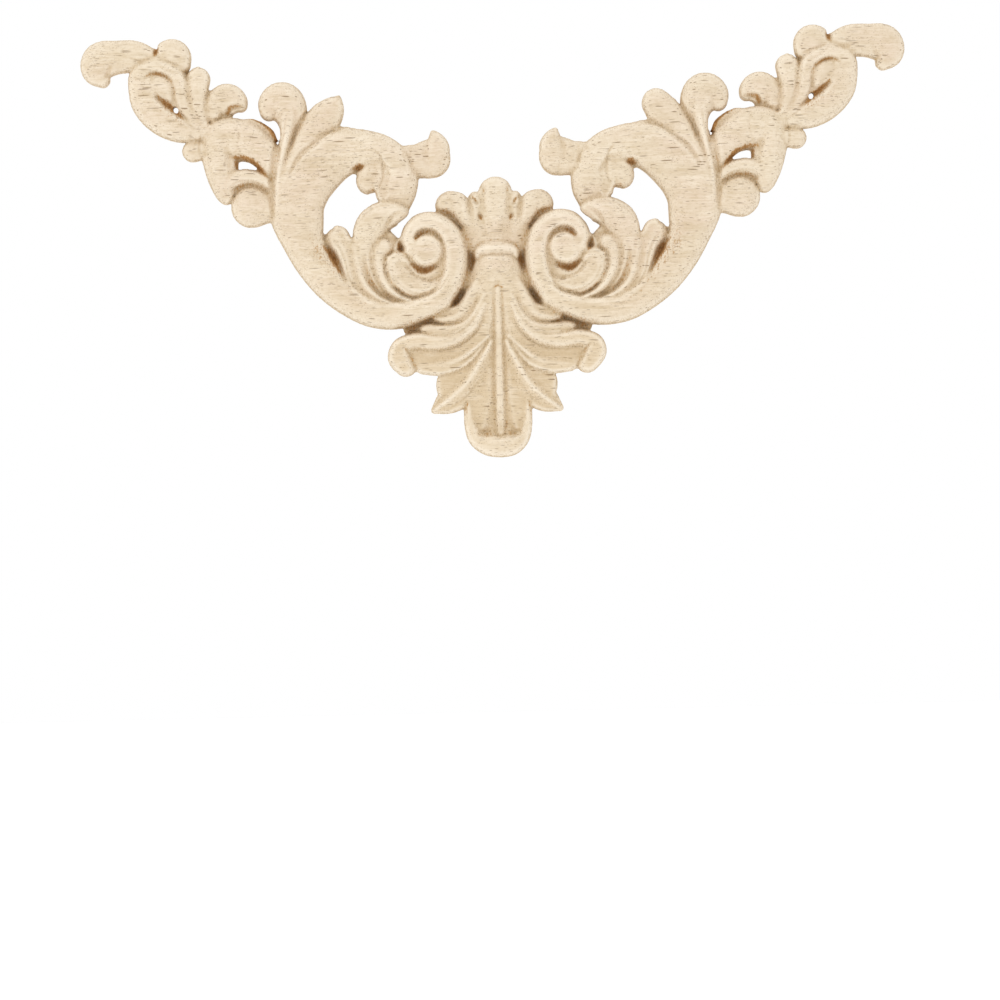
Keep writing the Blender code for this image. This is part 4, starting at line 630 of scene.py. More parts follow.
def lay_crown_and_collar(relief):
    """The small palmette above the centre, and the roll that binds it to the leaf."""
    body = [(0, 0, 8.0, 8.0, 6.6), (0, 3.4, 9.4, 9.4, 6.4), (0, 5.4, 8.0, 8.0, 6.2)]
    relief.ridge(body, foot=4.4)
    side_petal = [
        (-6.8, 4.6, 2.0, 2.0, 6.2), (-8.4, 6.8, 3.0, 2.4, 6.5), (-10.6, 9.2, 3.9, 3.8, 6.3),
        (-12.0, 9.2, 4.1, 4.2, 5.9),
    ]
    relief.ridge(side_petal, crease=(0.6, 0.3))
    middle_petal = [(0, 2, 2.6, 2.6, 6.6), (0, 8, 3.6, 3.6, 6.8), (0, 12.4, 4.6, 4.6, 6.4)]
    relief.ridge(middle_petal, foot=4.8, crease=(0.6, 0.2))
    small_petal = [(-4.6, 9.6, 2.2, 2.2, 5.8), (-5.4, 11.2, 1.9, 1.9, 5.4)]
    relief.ridge(small_petal)
    relief.carve([(-3.2, 14.6, 1.0, .3), (-3.8, 10, 1.5, .5), (-4.0, 6, 1.8, .6), (-3.2, 2, 1.6, .3)])
    relief.carve([(-7.4, 12.8, .8, .3), (-7.2, 8.6, 1.3, .6), (-6.6, 4.6, 1.3, .3)])
    roll = [
        (-5.5, -4.0, .9, .9, 6.9), (-4.6, -2.9, 1.3, 1.3, 7.6), (-2.7, -2.3, 1.5, 1.5, 8.2),
        (0, -2.1, 1.55, 1.55, 8.5), (1, -2.1, 1.55, 1.55, 8.5),
    ]
    relief.ridge(roll, foot=5.6, profile="round", crease=(0.9, 1.0))


def carve_pockets(relief):
    """The deep places that the cutter left between the motifs, from the centre out to the tip."""
    pockets = [
        [(-6.7, -3.6, 1.0, 1.3), (-7.3, -7.4, 1.0, 1.3)],
        [(-9.8, -13.6, 1.3, 2.5), (-11.3, -16.2, 1.6, 3.0)],
        [(-5.0, 9.6, .5, 1.2), (-5.6, 10.9, .5, 1.2)],
        [(-4.1, 6.1, .7, 1.8), (-4.5, 6.7, .6, 1.4)],
        [(-7.4, 13.6, .8, 1.2), (-6.6, 11.2, .7, .8)],
        [(-3.8, 15.0, .6, .6), (-3.4, 12.6, .6, .4)],
        [(-15.6, 8.1, .8, 1.2), (-12.8, 7.2, 1.1, 2.4), (-10.6, 5.0, .9, 1.6)],
        [(-5.8, -51.4, 1.2, .7), (-3.8, -51.2, 1.6, 1.0), (-2.8, -48.6, 1.4, .5), (-2.6, -44.0, .9, .2)],
        [(-9.1, -42.8, .5, .5), (-9.3, -45.0, .5, .5)],
        [(-24.6, -28.6, .5, .5), (-23.4, -31.4, .9, 1.0), (-22.2, -34.4, .7, 1.0)],
        [(-23.2, -23.3, 1.5, 1.0), (-18.0, -20.6, 1.1, 1.6)],
        [(-22.9, -6.0, .8, 1.6), (-20.3, -7.7, 1.4, 2.8), (-16.9, -6.8, .9, 1.6)],
        [(-22.2, 0.4, .5, .4), (-20.9, 1.9, .8, 1.4), (-18.6, 2.6, .8, 1.0), (-16.2, 1.8, .7, .6),
         (-14.6, -1.0, .5, .2)],
        [(-26.2, 0.4, .8, 1.5), (-25.8, -1.8, 1.5, 4.0)],
        [(-45.6, -0.6, .9, 1.2), (-44.0, -2.8, 1.6, 2.4), (-42.4, -5.6, 1.2, 1.6), (-40.6, -10, .8, .6)],
        [(-37.8, 19.6, .9, 1.4), (-36.3, 20.1, 1.2, 2.4), (-34.9, 20.5, .6, .5)],
        [(-22.6, 24.6, .6, .2), (-22.4, 21.6, .9, .4), (-21.6, 18.2, .6, .3)],
        [(-71.6, 32.0, 1.6, .1), (-71.8, 27, 1.8, .3), (-71.0, 23.6, 1.4, .5)],
        [(-71.2, 35.2, 1.0, 1.4), (-70.2, 36.4, 1.2, 1.6), (-68.6, 36.9, 1.1, 1.4), (-66.8, 36.8, .9, .9)],
        [(-81.9, 46.7, .9, 1.2), (-81.6, 45.0, .6, .5)],
        [(-89.6, 40.0, .9, 1.6), (-86.8, 37.7, 1.4, 2.8), (-83.2, 34.9, .9, 1.8), (-81.0, 33.2, .5, .6)],
        [(-92.8, 45.0, .5, .3), (-91, 46.3, .7, .8), (-88, 45.9, .7, .9), (-85.7, 44.2, .6, .4)],
        [(-89.5, 52.9, .9, 1.8), (-89.8, 51.8, .9, 1.2)],
    ]
    for pocket in pockets:
        relief.carve(pocket)


def pierce_openings(relief):
    """The small openings; the large ones are where no motif lies."""
    relief.pierce([(-67.4, 21.7, .95), (-65.8, 21.5, .75), (-63.8, 20.5, .4)])
    relief.pierce([(-84.9, 36.8, .7), (-84.6, 36.3, .7)])
    relief.pierce([(-89.7, 57, .9), (-89.7, 54.8, .55), (-89.6, 53.3, .4)])
    relief.pierce([(-21.4, 9.2, .9), (-23.5, 6.5, .62), (-25.6, 4.6, .9)])
    relief.pierce([(-59.6, 32.3, .6), (-58.2, 31.2, .9), (-57.5, 28.4, .5)])


def score_knife_lines(relief):
    """The fine lines that follow the flutes and folds."""
    lines = [
        # down the fluted leaf
        [(-43.4, 1.0), (-41.6, -1.6), (-40.4, -5), (-39.4, -9.4), (-37.2, -12.6), (-33.6, -15.2)],
        [(-36.8, 5.2), (-34.6, 7.8), (-31.2, 9.6), (-27.6, 9.6)],
        [(-34.0, -9.2), (-33.0, -12.0), (-30.8, -14.3), (-28.2, -15.6)],
        [(-28.4, -5.4), (-28.2, -8.4), (-26.4, -11.4), (-23.6, -13.3), (-20.4, -13.9), (-17.2, -12.6)],
        # round the volute
        [(-13.4, -9.2), (-15.2, -12.2), (-18.6, -14.3), (-22.4, -14.8)],
        [(-10.2, 3.4), (-9.0, -0.6), (-8.9, -5.4), (-9.8, -10.2)],
        [(-36.0, -17.3), (-33, -17.7), (-30.0, -17.8)],
        # the crest leaves and the drop
        [(-49.3, 35.8), (-50.5, 35), (-52, 32.5), (-53.3, 30.5)],
        [(-40.6, 30.9), (-43, 30.0), (-46, 28.2), (-49, 26.1), (-51.7, 24), (-54.2, 20.6)],
        [(-55.4, 33.4), (-56.2, 28.6), (-57.8, 22.6), (-58.8, 16.2), (-59.0, 9.8)],
        [(-32.0, 24.7), (-30.6, 23.2), (-29.8, 20.4), (-29.9, 16.8), (-31.2, 14.3)],
        [(-24.2, 25.2), (-22.8, 22.2), (-22.2, 18.4)],
        # the second scroll and the tip
        [(-77.2, 33.8), (-74.2, 33.9), (-71.4, 34.1)],
        [(-77.6, 31.2), (-78.5, 28.4), (-78.7, 26.0), (-78.2, 23.4)],
        [(-70.6, 15.6), (-68.8, 16.9), (-66.0, 17.2), (-63.2, 16.6), (-60.8, 15.2)],
        [(-88.4, 49.8), (-86.2, 49.3), (-84.0, 48.5), (-82.3, 47.7)],
        [(-95.4, 51.4), (-93.2, 51.3), (-91.2, 51.6)],
        [(-82.6, 33.6), (-80.4, 31.9), (-78.4, 30.6)],
        # the centre leaf
        [(-17.3, -20.9), (-15, -22.1), (-12, -22.2), (-9, -21.3), (-6.6, -18.4), (-5.2, -15)],
        [(-5.0, -18.6), (-7.6, -22.2), (-11.0, -24.7), (-14.4, -25.2), (-18.4, -25.0), (-20.9, -23.9)],
        [(-24.6, -28.7), (-20, -28.9), (-14, -28.9), (-9.2, -27.1), (-6, -24.4), (-4.2, -21)],
        [(-13, -33.4), (-9, -31.7), (-5.6, -28.9), (-3.1, -26.3)],
        [(-13, -44.4), (-8.6, -41.2), (-5.6, -37.2)],
        [(-25.6, -27.6), (-23.4, -30.2), (-21.8, -32.8)],
        [(-8.9, -43.0), (-9.1, -46.2), (-8.6, -49.4)],
        [(-3, -54.3), (0, -54.3), (1, -54.3)],
        # the collar and the crown
        [(-4.9, -3.9), (-2.6, -4.05), (0, -4.1), (1, -4.1)],
        [(-14.0, 10.7), (-12.4, 10.9), (-10.6, 10.7)],
    ]
    for line in lines:
        ends = (0, len(line) - 1)
        depths = [KNIFE_RUN_OUT if k in ends else KNIFE_DEPTH for k in range(len(line))]
        relief.carve([(x, y, KNIFE_WIDTH, depth) for (x, y), depth in zip(line, depths)])


def scorch_pockets(relief):
    """The places that the cutter burnt: strokes of x, y, half width, strength."""
    strokes = [
        # round the eye of the volute
        [(-21.8, .6, .6, .6), (-20.5, 1.9, .7, .7), (-18.8, 2.6, .6, .5), (-16.8, 2.2, .5, .35),
         (-15.5, .8, .5, .25), (-14.9, -.6, .5, .2), (-14.4, -4, .5, .15)],
        [(-23.2, -5.6, .6, .4), (-21.6, -7.2, 1.2, .7), (-19.6, -7.8, 1.3, .8), (-17.4, -6.9, 1.0, .5),
         (-16.2, -6, .6, .3)],
        [(-26.3, .5, .7, .35), (-26.2, -1.5, 1.3, .55), (-25.3, -3, .9, .45), (-24.3, -3.6, .5, .3)],
        [(-26.8, -3.0, .5, .4), (-28.4, -2.4, .5, .45), (-29.6, -3.4, .4, .2)],
        # between the volute and the crown
        [(-15.8, 8.2, .6, .3), (-13.8, 7.9, 1.0, .45), (-12, 6.8, 1.0, .4), (-10.8, 5.2, .7, .3),
         (-9.6, 3.6, .5, .2), (-8.2, 1.2, .4, .15)],
        # down either side of the stem
        [(-6.5, -3.7, .8, .6), (-6.8, -5.6, 1.1, .65), (-7.4, -7.8, .8, .4), (-8.6, -11, .7, .2),
         (-9.8, -13.4, .9, .3), (-10.9, -15.6, 1.5, .55), (-12, -17, 1.2, .45)],
        [(-6.2, -2.6, .5, .4), (-5.2, -1.3, .5, .35), (-3.2, -.3, .5, .3), (0, 0, .5, .3), (1, 0, .5, .3)],
        # between the volute and the centre leaf
        [(-25, -24, 1.0, .4), (-23, -23, 1.6, .5), (-20.5, -21.9, .9, .35), (-18.2, -20.6, 1.1, .45),
         (-16.5, -19.4, .6, .3), (-13.5, -18, .5, .25)],
        [(-20.5, -23.7, .5, .3), (-18.5, -24.8, .5, .3), (-15.5, -25.1, .5, .25), (-12.5, -24.8, .5, .2)],
        [(-17.4, -20.9, .6, .5), (-15.6, -22.2, .5, .3), (-13.2, -22.4, .4, .15)],
        # the slot beside the fluted leaf, and the grooves down it
        [(-46.2, -.6, .6, .4), (-45, -1.8, 1.0, .7), (-43.6, -4, 1.4, .9), (-42.4, -6.6, 1.0, .65),
         (-41.2, -9, .6, .35), (-40.0, -12, .6, .3), (-37.4, -14.9, .5, .35), (-34, -16.9, .4, .2)],
        [(-34.6, -7.6, .6, .2), (-33.4, -11, .9, .45), (-31.4, -13.4, .6, .25)],
        [(-29.6, -6, .5, .25), (-29.2, -9.4, .5, .35), (-26.6, -12.9, .5, .45), (-22.6, -14.8, .5, .3)],
        # the drop
        [(-37.4, 19.7, .9, .5), (-36.3, 20.1, 1.3, .85), (-35.2, 20.3, .8, .5)],
        [(-34.4, 13.9, .6, .35), (-32.4, 13.9, .7, .4), (-31.6, 13.0, .5, .3)],
        # the crown
        [(-4.3, 6.5, .6, .65), (-4.0, 5.7, .6, .65)],
        [(-6.3, 11.8, .4, .4), (-5.4, 10.6, .6, .65), (-4.9, 9.8, .4, .5)],
        [(-3.3, 14, .5, .4), (-3.1, 13, .5, .4)],
        # the opening of the second scroll and the gap beside it
        [(-68.7, 20.8, .7, .8), (-68.9, 22.4, .7, .7)],
        [(-70, 23.6, .8, .6), (-67.4, 23.5, .9, .7), (-64.4, 22.2, .9, .85), (-62.6, 20.2, 1.0, .95),
         (-60.8, 18.1, .5, .5)],
        [(-64.6, 33.8, .5, .5), (-62.4, 32.8, .6, .7), (-60.2, 31.2, .7, .85), (-58.2, 28.6, .9, 1.0),
         (-57.8, 27, .5, .9)],
        [(-70.2, 14.4, .5, .3), (-67.8, 16.0, .8, .45), (-64.8, 16.2, .7, .4), (-61.6, 14.8, .5, .3)],
        # the tip
        [(-92.5, 45.5, .4, .3), (-91, 46.3, .5, .6), (-88, 45.9, .6, .65), (-86, 44.5, .6, .5),
         (-85.2, 43, .5, .4), (-85, 40, .5, .3)],
        [(-90, 41.2, .5, .35), (-88.8, 39.6, .8, .55), (-87, 38, 1.0, .85), (-85.3, 36.8, 1.0, .9),
         (-83.6, 34.9, .8, .75), (-82.4, 33.8, .5, .4)],
        [(-89.6, 53.0, .8, 1.0), (-89.7, 52.0, .9, .9), (-90.4, 51.0, .7, .3)],
        [(-70.9, 35.5, .8, .75), (-70.2, 36.9, .8, .65), (-68.6, 37.2, .6, .5), (-67.0, 37.1, .5, .35)],
        [(-81.8, 46.6, .6, .5), (-81.6, 45.6, .4, .2)],
        # the centre leaf
        [(-1.1, -13.5, .4, .35), (-1.2, -18, .4, .3), (-1.4, -26, .4, .25), (-1.6, -36, .4, .25),
         (-1.6, -50, .5, .3)],
        [(-5.8, -52, .5, .35), (-4.2, -52.1, .8, .4), (-2.6, -51.4, .9, .4)],
        [(-1.1, -12.8, .4, .6), (0, -12.2, .4, .6), (1, -12.2, .4, .6)],
        [(-24.8, -28.6, .4, .4), (-23.4, -31, .4, .45), (-22, -34, .4, .45)],
        [(-8.8, -43.2, .6, .5), (-9.2, -45, .6, .45), (-9.0, -47, .5, .25)],
        # thin speckles round the deepest places
        [(-49.5, 2.4, 2.5, .2), (-47.5, -2, 3.2, .32), (-44.5, -6, 2.6, .3), (-41.5, -11, 1.6, .25)],
        [(-90.4, 39.2, 1.6, .2), (-87, 37, 2.8, .36), (-83, 33.4, 2.0, .3)],
        [(-35.4, -5, 1.2, .2), (-34.2, -10, 1.6, .36), (-31, -14, 1.2, .3)],
        [(-26, -22.6, 1.8, .3), (-20, -21.2, 1.8, .36), (-15.4, -19.4, 1.4, .3)],
        [(-16, 8.6, 1.6, .3), (-12, 7, 2.0, .36), (-9.6, 3.6, 1.4, .3), (-7.6, -1, 1.4, .3),
         (-8.4, -9, 1.4, .34), (-11, -15.4, 2.4, .4)],
        [(-59.6, 18, 1.6, .3), (-57.6, 24, 1.4, .25), (-56.4, 29, 1.0, .2)],
    ]
    for stroke in strokes:
        relief.brown(stroke)


def draw_arm(pointed):
    """One arm with its half of the centre."""
    relief = Relief(GRID)
    lay_ground(relief)
    lay_second_scroll(relief)
    lay_great_scroll(relief)
    lay_crest_leaves(relief, pointed)
    lay_drop_and_fishtail(relief)
    lay_fluted_leaf(relief)
    lay_tip(relief)
    lay_centre_leaf(relief)
    lay_stem_and_midrib(relief)
    lay_crown_and_collar(relief)
    carve_pockets(relief)
    pierce_openings(relief)
    relief.finish(SMOOTHING)
    score_knife_lines(relief)
    scorch_pockets(relief)
    return relief


def ramp(value, stretch):
    """0 before the stretch and 1 beyond it, with a soft change between."""
    low, high = stretch
    share = np.clip((value - low) / (high - low), 0, 1)
    return share * share * (3 - 2 * share)


def shifted(relief, field, shifts):
    """An arm's field with what lies beside the middle moved nearer to it."""
    beside = ramp(-relief.across, SHIFT_RISE) * (1 - ramp(-relief.across, SHIFT_FADE))
    moved = np.empty_like(field)
    for row, shift in enumerate(np.interp(relief.up, *np.transpose(shifts))):
        moved[row] = np.interp(relief.across - shift * beside, relief.across, field[row])
    return moved


def draw_onlay():
    """Both arms side by side: the grid's lines, the heights, the distance to the outline and the scorch."""
    left = draw_arm(pointed=True)
    right = draw_arm(pointed=False)
    across = np.hstack([left.across, -right.across[-2::-1]])
    fields = [
        np.hstack([shifted(left, a, LEFT_SHIFTS), shifted(right, b, RIGHT_SHIFTS)[:, -2::-1]])
        for a, b in ((left.height, right.height), (left.inside, right.inside), (left.scorch, right.scorch))
    ]
    return across, left.up, *fields


def smeared(field, across, up):
    """The field smoothed over so many grid steps across and up, as if there were nothing beyond its edge."""
    for axis, radius in ((1, across), (0, up)):
        count = int(3 * radius) + 1
        weights = np.exp(-0.5 * (np.arange(-count, count + 1) / radius) ** 2)
        field = np.apply_along_axis(np.convolve, axis, field, weights / weights.sum(), mode="same")
    return field


def ripple(shape, across, up, seed):
    """Even noise over the sheet, of unit spread, whose patches are so many grid steps across and up."""
    field = smeared(np.random.default_rng(seed).standard_normal(shape), across, up)
    return field / field.std()


def blurred(field, wood, radius):
    """The field averaged over the wood within about that radius, in grid steps."""
    total, share = (smeared(layer, radius, radius) for layer in (field * wood, wood.astype(float)))
    return total / np.maximum(share, 1e-9)


def study_surface(height, inside, scorch):
    """What the finish is painted by: how hollow, low, raised and steep each place is, for painted shade and
    highlights, and how scorched.
    """
    wood = inside > -GRID
    near, wide, broad = (
        blurred(height, wood, radius / GRID) - height for radius in (NEAR_HOLLOW, WIDE_HOLLOW, BROAD_HOLLOW)
    )
    slope_up, slope_across = np.gradient(height, GRID)
    steep = np.hypot(slope_up, slope_across)
    return {
        # painted shade: how far a place lies below what is round it, which tints the hollows tan
        "hollow": np.clip(near / NEAR_DEPTH + wide / WIDE_DEPTH, 0, 1),
        # painted shade: how far a place lies below the broad run of the surface, which darkens the low
        # ground
        "low": np.clip(LEVEL_GROUND + broad / BROAD_DEPTH, 0, 1),
        # painted highlight on the raised crests
        "proud_highlight": np.clip(-near / PROUD_HEIGHT, 0, 1),
        # drives a painted highlight on the slopes, and a tan that is partly painted shade, partly the
        # cutter's hatch
        "steep": np.clip(steep / FULL_SLOPE, 0, 1),
        "scorch": np.clip(scorch, 0, 1),
    }


def cut_front(inside):
    """The front's points, as rows and columns of the grid, its faces, cut to the outline, and its border."""
    inside = np.where(np.abs(inside) < SNAP, np.where(inside > 0, SNAP, -SNAP), inside)
    wood = inside > 0
    index = np.full(wood.shape, -1)
    index[wood] = np.arange(wood.sum())
    rows, columns = np.nonzero(wood)
    crossings = {}
    added = []

    def crossing(a, b):
        """The number of the point at which the outline crosses that side of a cell."""
        key = (a, b) if a < b else (b, a)
        if key not in crossings:
            (j0, i0), (j1, i1) = key
            t = inside[j0, i0] / (inside[j0, i0] - inside[j1, i1])
            crossings[key] = len(rows) + len(added)
            added.append((j0 + t * (j1 - j0), i0 + t * (i1 - i0)))
        return crossings[key]

    full = wood[:-1, :-1] & wood[1:, :-1] & wood[:-1, 1:] & wood[1:, 1:]
    j, i = np.nonzero(full)
    faces = np.stack([index[j, i], index[j, i + 1], index[j + 1, i + 1], index[j + 1, i]], axis=1).tolist()
    some = wood[:-1, :-1] | wood[1:, :-1] | wood[:-1, 1:] | wood[1:, 1:]
    border = []
    for j, i in zip(*np.nonzero(some & ~full)):
        corners = [(j, i), (j, i + 1), (j + 1, i + 1), (j + 1, i)]
        ring = []
        for a, b in zip(corners, corners[1:] + corners[:1]):
            if wood[a]:
                ring.append(("corner", index[a]))
            if wood[a] != wood[b]:
                ring.append(("leaves" if wood[a] else "enters", crossing(a, b)))
        kinds = [kind for kind, _ in ring]
        if kinds.count("leaves") == 2 and inside[j:j + 2, i:i + 2].mean() <= 0:
            while ring[0][0] != "enters":
                ring = ring[1:] + ring[:1]
            halves = [ring[:3], ring[3:]]
        else:
            halves = [ring]
        for part in halves:
            faces.append([vertex for _, vertex in part])
            for (kind, start), (_, end) in zip(part, part[1:] + part[:1]):
                if kind == "leaves":
                    border.append((start, end))
    return np.vstack([np.stack([rows, columns], axis=1), np.array(added)]), faces, border


def sample(field, places):
    """The field's values at fractional rows and columns."""
    j = np.clip(places[:, 0].astype(int), 0, field.shape[0] - 2)
    i = np.clip(places[:, 1].astype(int), 0, field.shape[1] - 2)
    v, u = places[:, 0] - j, places[:, 1] - i
    low = field[j, i] * (1 - u) + field[j, i + 1] * u
    high = field[j + 1, i] * (1 - u) + field[j + 1, i + 1] * u
    return low * (1 - v) + high * v


def order_loops(border):
    """The border edges chained into closed loops."""
    after = dict(border)
    loops = []
    while after:
        start, here = after.popitem()
        loop = [start]
        while here != start:
            loop.append(here)
            here = after.pop(here)
        loops.append(loop)
    return loops


def fill_back(points, loops):
    """Triangles that close the flat back, as indices into the points."""
    sheet = bpy.data.curves.new("back", "CURVE")
    sheet.dimensions = "2D"
    sheet.fill_mode = "BOTH"
    order = []
    for loop in loops:
        spline = sheet.splines.new("POLY")
        spline.points.add(len(loop) - 1)
        for point, vertex in zip(spline.points, loop):
            point.co = (*points[vertex], 0.0, 1.0)
        spline.use_cyclic_u = True
        order += loop
    curve = bpy.data.objects.new("back", sheet)
    bpy.context.scene.collection.objects.link(curve)
    filled = bpy.data.meshes.new_from_object(curve.evaluated_get(bpy.context.evaluated_depsgraph_get()))
    nearest = kdtree.KDTree(len(order))
    for k, vertex in enumerate(order):
        nearest.insert((*points[vertex], 0.0), k)
    nearest.balance()
    names = [order[nearest.find(vertex.co)[1]] for vertex in filled.vertices]
    triangles = []
    for face in filled.polygons:
        corners = [names[k] for k in face.vertices]
        if len(set(corners)) == len(corners):
            a, b, c = (points[k] for k in corners[:3])
            turn = (b[0] - a[0]) * (c[1] - a[1]) - (b[1] - a[1]) * (c[0] - a[0])
            triangles.append(corners if turn < 0 else corners[::-1])
    bpy.data.objects.remove(curve, do_unlink=True)
    bpy.data.meshes.remove(filled)
    return triangles


def fitted(sheet):
    """The points on the sheet moved by a hair, so that the finer outline just fills the solid's box."""
    corners = np.array(cad_box)[:, [0, 2]] / UNIT
    low, high = sheet.min(axis=0), sheet.max(axis=0)
    return corners[0] + (sheet - low) / (high - low) * (corners[1] - corners[0])


def make_onlay():
    """The whole carving as one closed mesh: front, upright edge and flat back."""
    across, up, height, inside, scorch = draw_onlay()
    height = height + HAND_WAVE * ripple(height.shape, across=9.0, up=6.0, seed=11)
    height = height + TOOL_WAVE * ripple(height.shape, across=1.3, up=3.2, seed=12)
    marks = study_surface(height, inside, scorch)
    places, faces, border = cut_front(inside)
    sheet = fitted(np.stack([across[0] + places[:, 1] * GRID, up[0] + places[:, 0] * GRID], axis=1))
    rise = np.maximum(sample(height, places), LOWEST)
    loops = order_loops(border)
    rim = [vertex for loop in loops for vertex in loop]
    foot_of = {vertex: len(places) + k for k, vertex in enumerate(rim)}
    foot_points = np.array([sheet[vertex] for vertex in foot_of])
    for start, end in border:
        faces.append([start, foot_of[start], foot_of[end], end][::-1])
    points = np.vstack([sheet, foot_points])
    faces += fill_back(points, [[foot_of[vertex] for vertex in loop] for loop in loops])
    flat = np.zeros(len(foot_points))

    mesh = bpy.data.meshes.new("carved_onlay")
    world = np.stack([points[:, 0], -np.concatenate([rise, flat]), points[:, 1]], axis=1) * UNIT
    mesh.from_pydata(world.tolist(), [], faces)
    for name, field in marks.items():
        values = np.concatenate([sample(field, places), flat]).astype(np.float32)
        mesh.attributes.new(name, "FLOAT", "POINT").data.foreach_set("value", values)
    body = bmesh.new()
    body.from_mesh(mesh)
    rims = {*rim, *foot_of.values()}
    for face in body.faces:
        face.smooth = True
    for edge in body.edges:
        a, b = edge.verts[0].index, edge.verts[1].index
        if a in rims and b in rims and (a < len(places)) == (b < len(places)):
            sides = edge.link_faces
            edge.smooth = len(sides) == 2 and all(abs(face.normal.y) > FRONT_TILT for face in sides)
    body.to_mesh(mesh)
    body.free()
    mesh.validate()
    onlay = bpy.data.objects.new("carved_onlay", mesh)
    bpy.context.scene.collection.objects.link(onlay)
    return onlay


class Number:
    """A number that changes over the surface; sums with it add Math nodes."""

    def __init__(self, finish, socket):
        self.finish = finish
        self.socket = socket

    def maths(self, operation, a, b, clamp=False):
        return self.finish.add("ShaderNodeMath", {"operation": operation, "use_clamp": clamp}, {0: a, 1: b})

    def __add__(self, other):
        return self.maths("ADD", self, other)

    __radd__ = __add__

    def __sub__(self, other):
        return self.maths("SUBTRACT", self, other)

    def __rsub__(self, other):
        return self.maths("SUBTRACT", other, self)

    def __mul__(self, other):
        return self.maths("MULTIPLY", self, other)

    __rmul__ = __mul__

    def clamped(self):
        """The same number, kept between 0 and 1."""
        return self.maths("MULTIPLY", self, 1.0, clamp=True)


class Finish:
    """A material, built up node by node."""

    def __init__(self, name):
        self.material = bpy.data.materials.new(name)
        self.material.use_nodes = True
        self.nodes = self.material.node_tree.nodes
        self.links = self.material.node_tree.links
        self.shader = self.nodes["Principled BSDF"]
        self.place = self.add("ShaderNodeTexCoord", {}, {}, "Object")

    def add(self, kind, settings, sockets, output=0):
        """A node of that kind; settings first, then the values or links of its sockets."""
        node = self.nodes.new(kind)
        for name, value in settings.items():
            setattr(node, name, value)
        self.feed(node, sockets)
        return Number(self, node.outputs[output])

    def feed(self, node, sockets):
        for name, value in sockets.items():
            if isinstance(value, Number):
                self.links.new(value.socket, node.inputs[name])
            else:
                node.inputs[name].default_value = value

    def stretched(self, length, height, depth, place=None):
        """Coordinates in which a patch of that many millimetres is one unit."""
        scale = (1 / (length * UNIT), 1 / (depth * UNIT), 1 / (height * UNIT))
        return self.add("ShaderNodeMapping", {}, {"Vector": place or self.place, "Scale": scale}, "Vector")

    def noise(self, length, height, depth, detail=2.0, roughness=0.5, place=None):
        """Smooth noise from 0 to 1 in patches of that many millimetres."""
        vector = self.stretched(length, height, depth, place)
        return self.add("ShaderNodeTexNoise", {}, {
            "Vector": vector, "Scale": 1.0, "Detail": detail, "Roughness": roughness,
        }, "Fac")

    def step(self, value, low, high):
        """0 below low and 1 above high, with a soft change between."""
        return self.add("ShaderNodeMapRange", {"interpolation_type": "SMOOTHSTEP"}, {
            "Value": value, "From Min": low, "From Max": high,
        })

    def mix(self, share, first, second):
        """A colour between two others."""
        return self.add("ShaderNodeMix", {"data_type": "RGBA"}, {0: share, 6: first, 7: second}, 2)

    def dashes(self, length, height, place):
        """Short dark strokes along the grain, one to each cell of that many millimetres."""
        reach = self.add("ShaderNodeTexVoronoi", {"feature": "F1"}, {
            "Vector": self.stretched(length, height, height, place), "Scale": 1.0,
        }, "Distance")
        return 1 - self.step(reach, *DASH_EDGE)

    def mark(self, name):
        """One of the values painted on the mesh."""
        return self.add("ShaderNodeAttribute", {"attribute_name": name}, {}, "Fac")


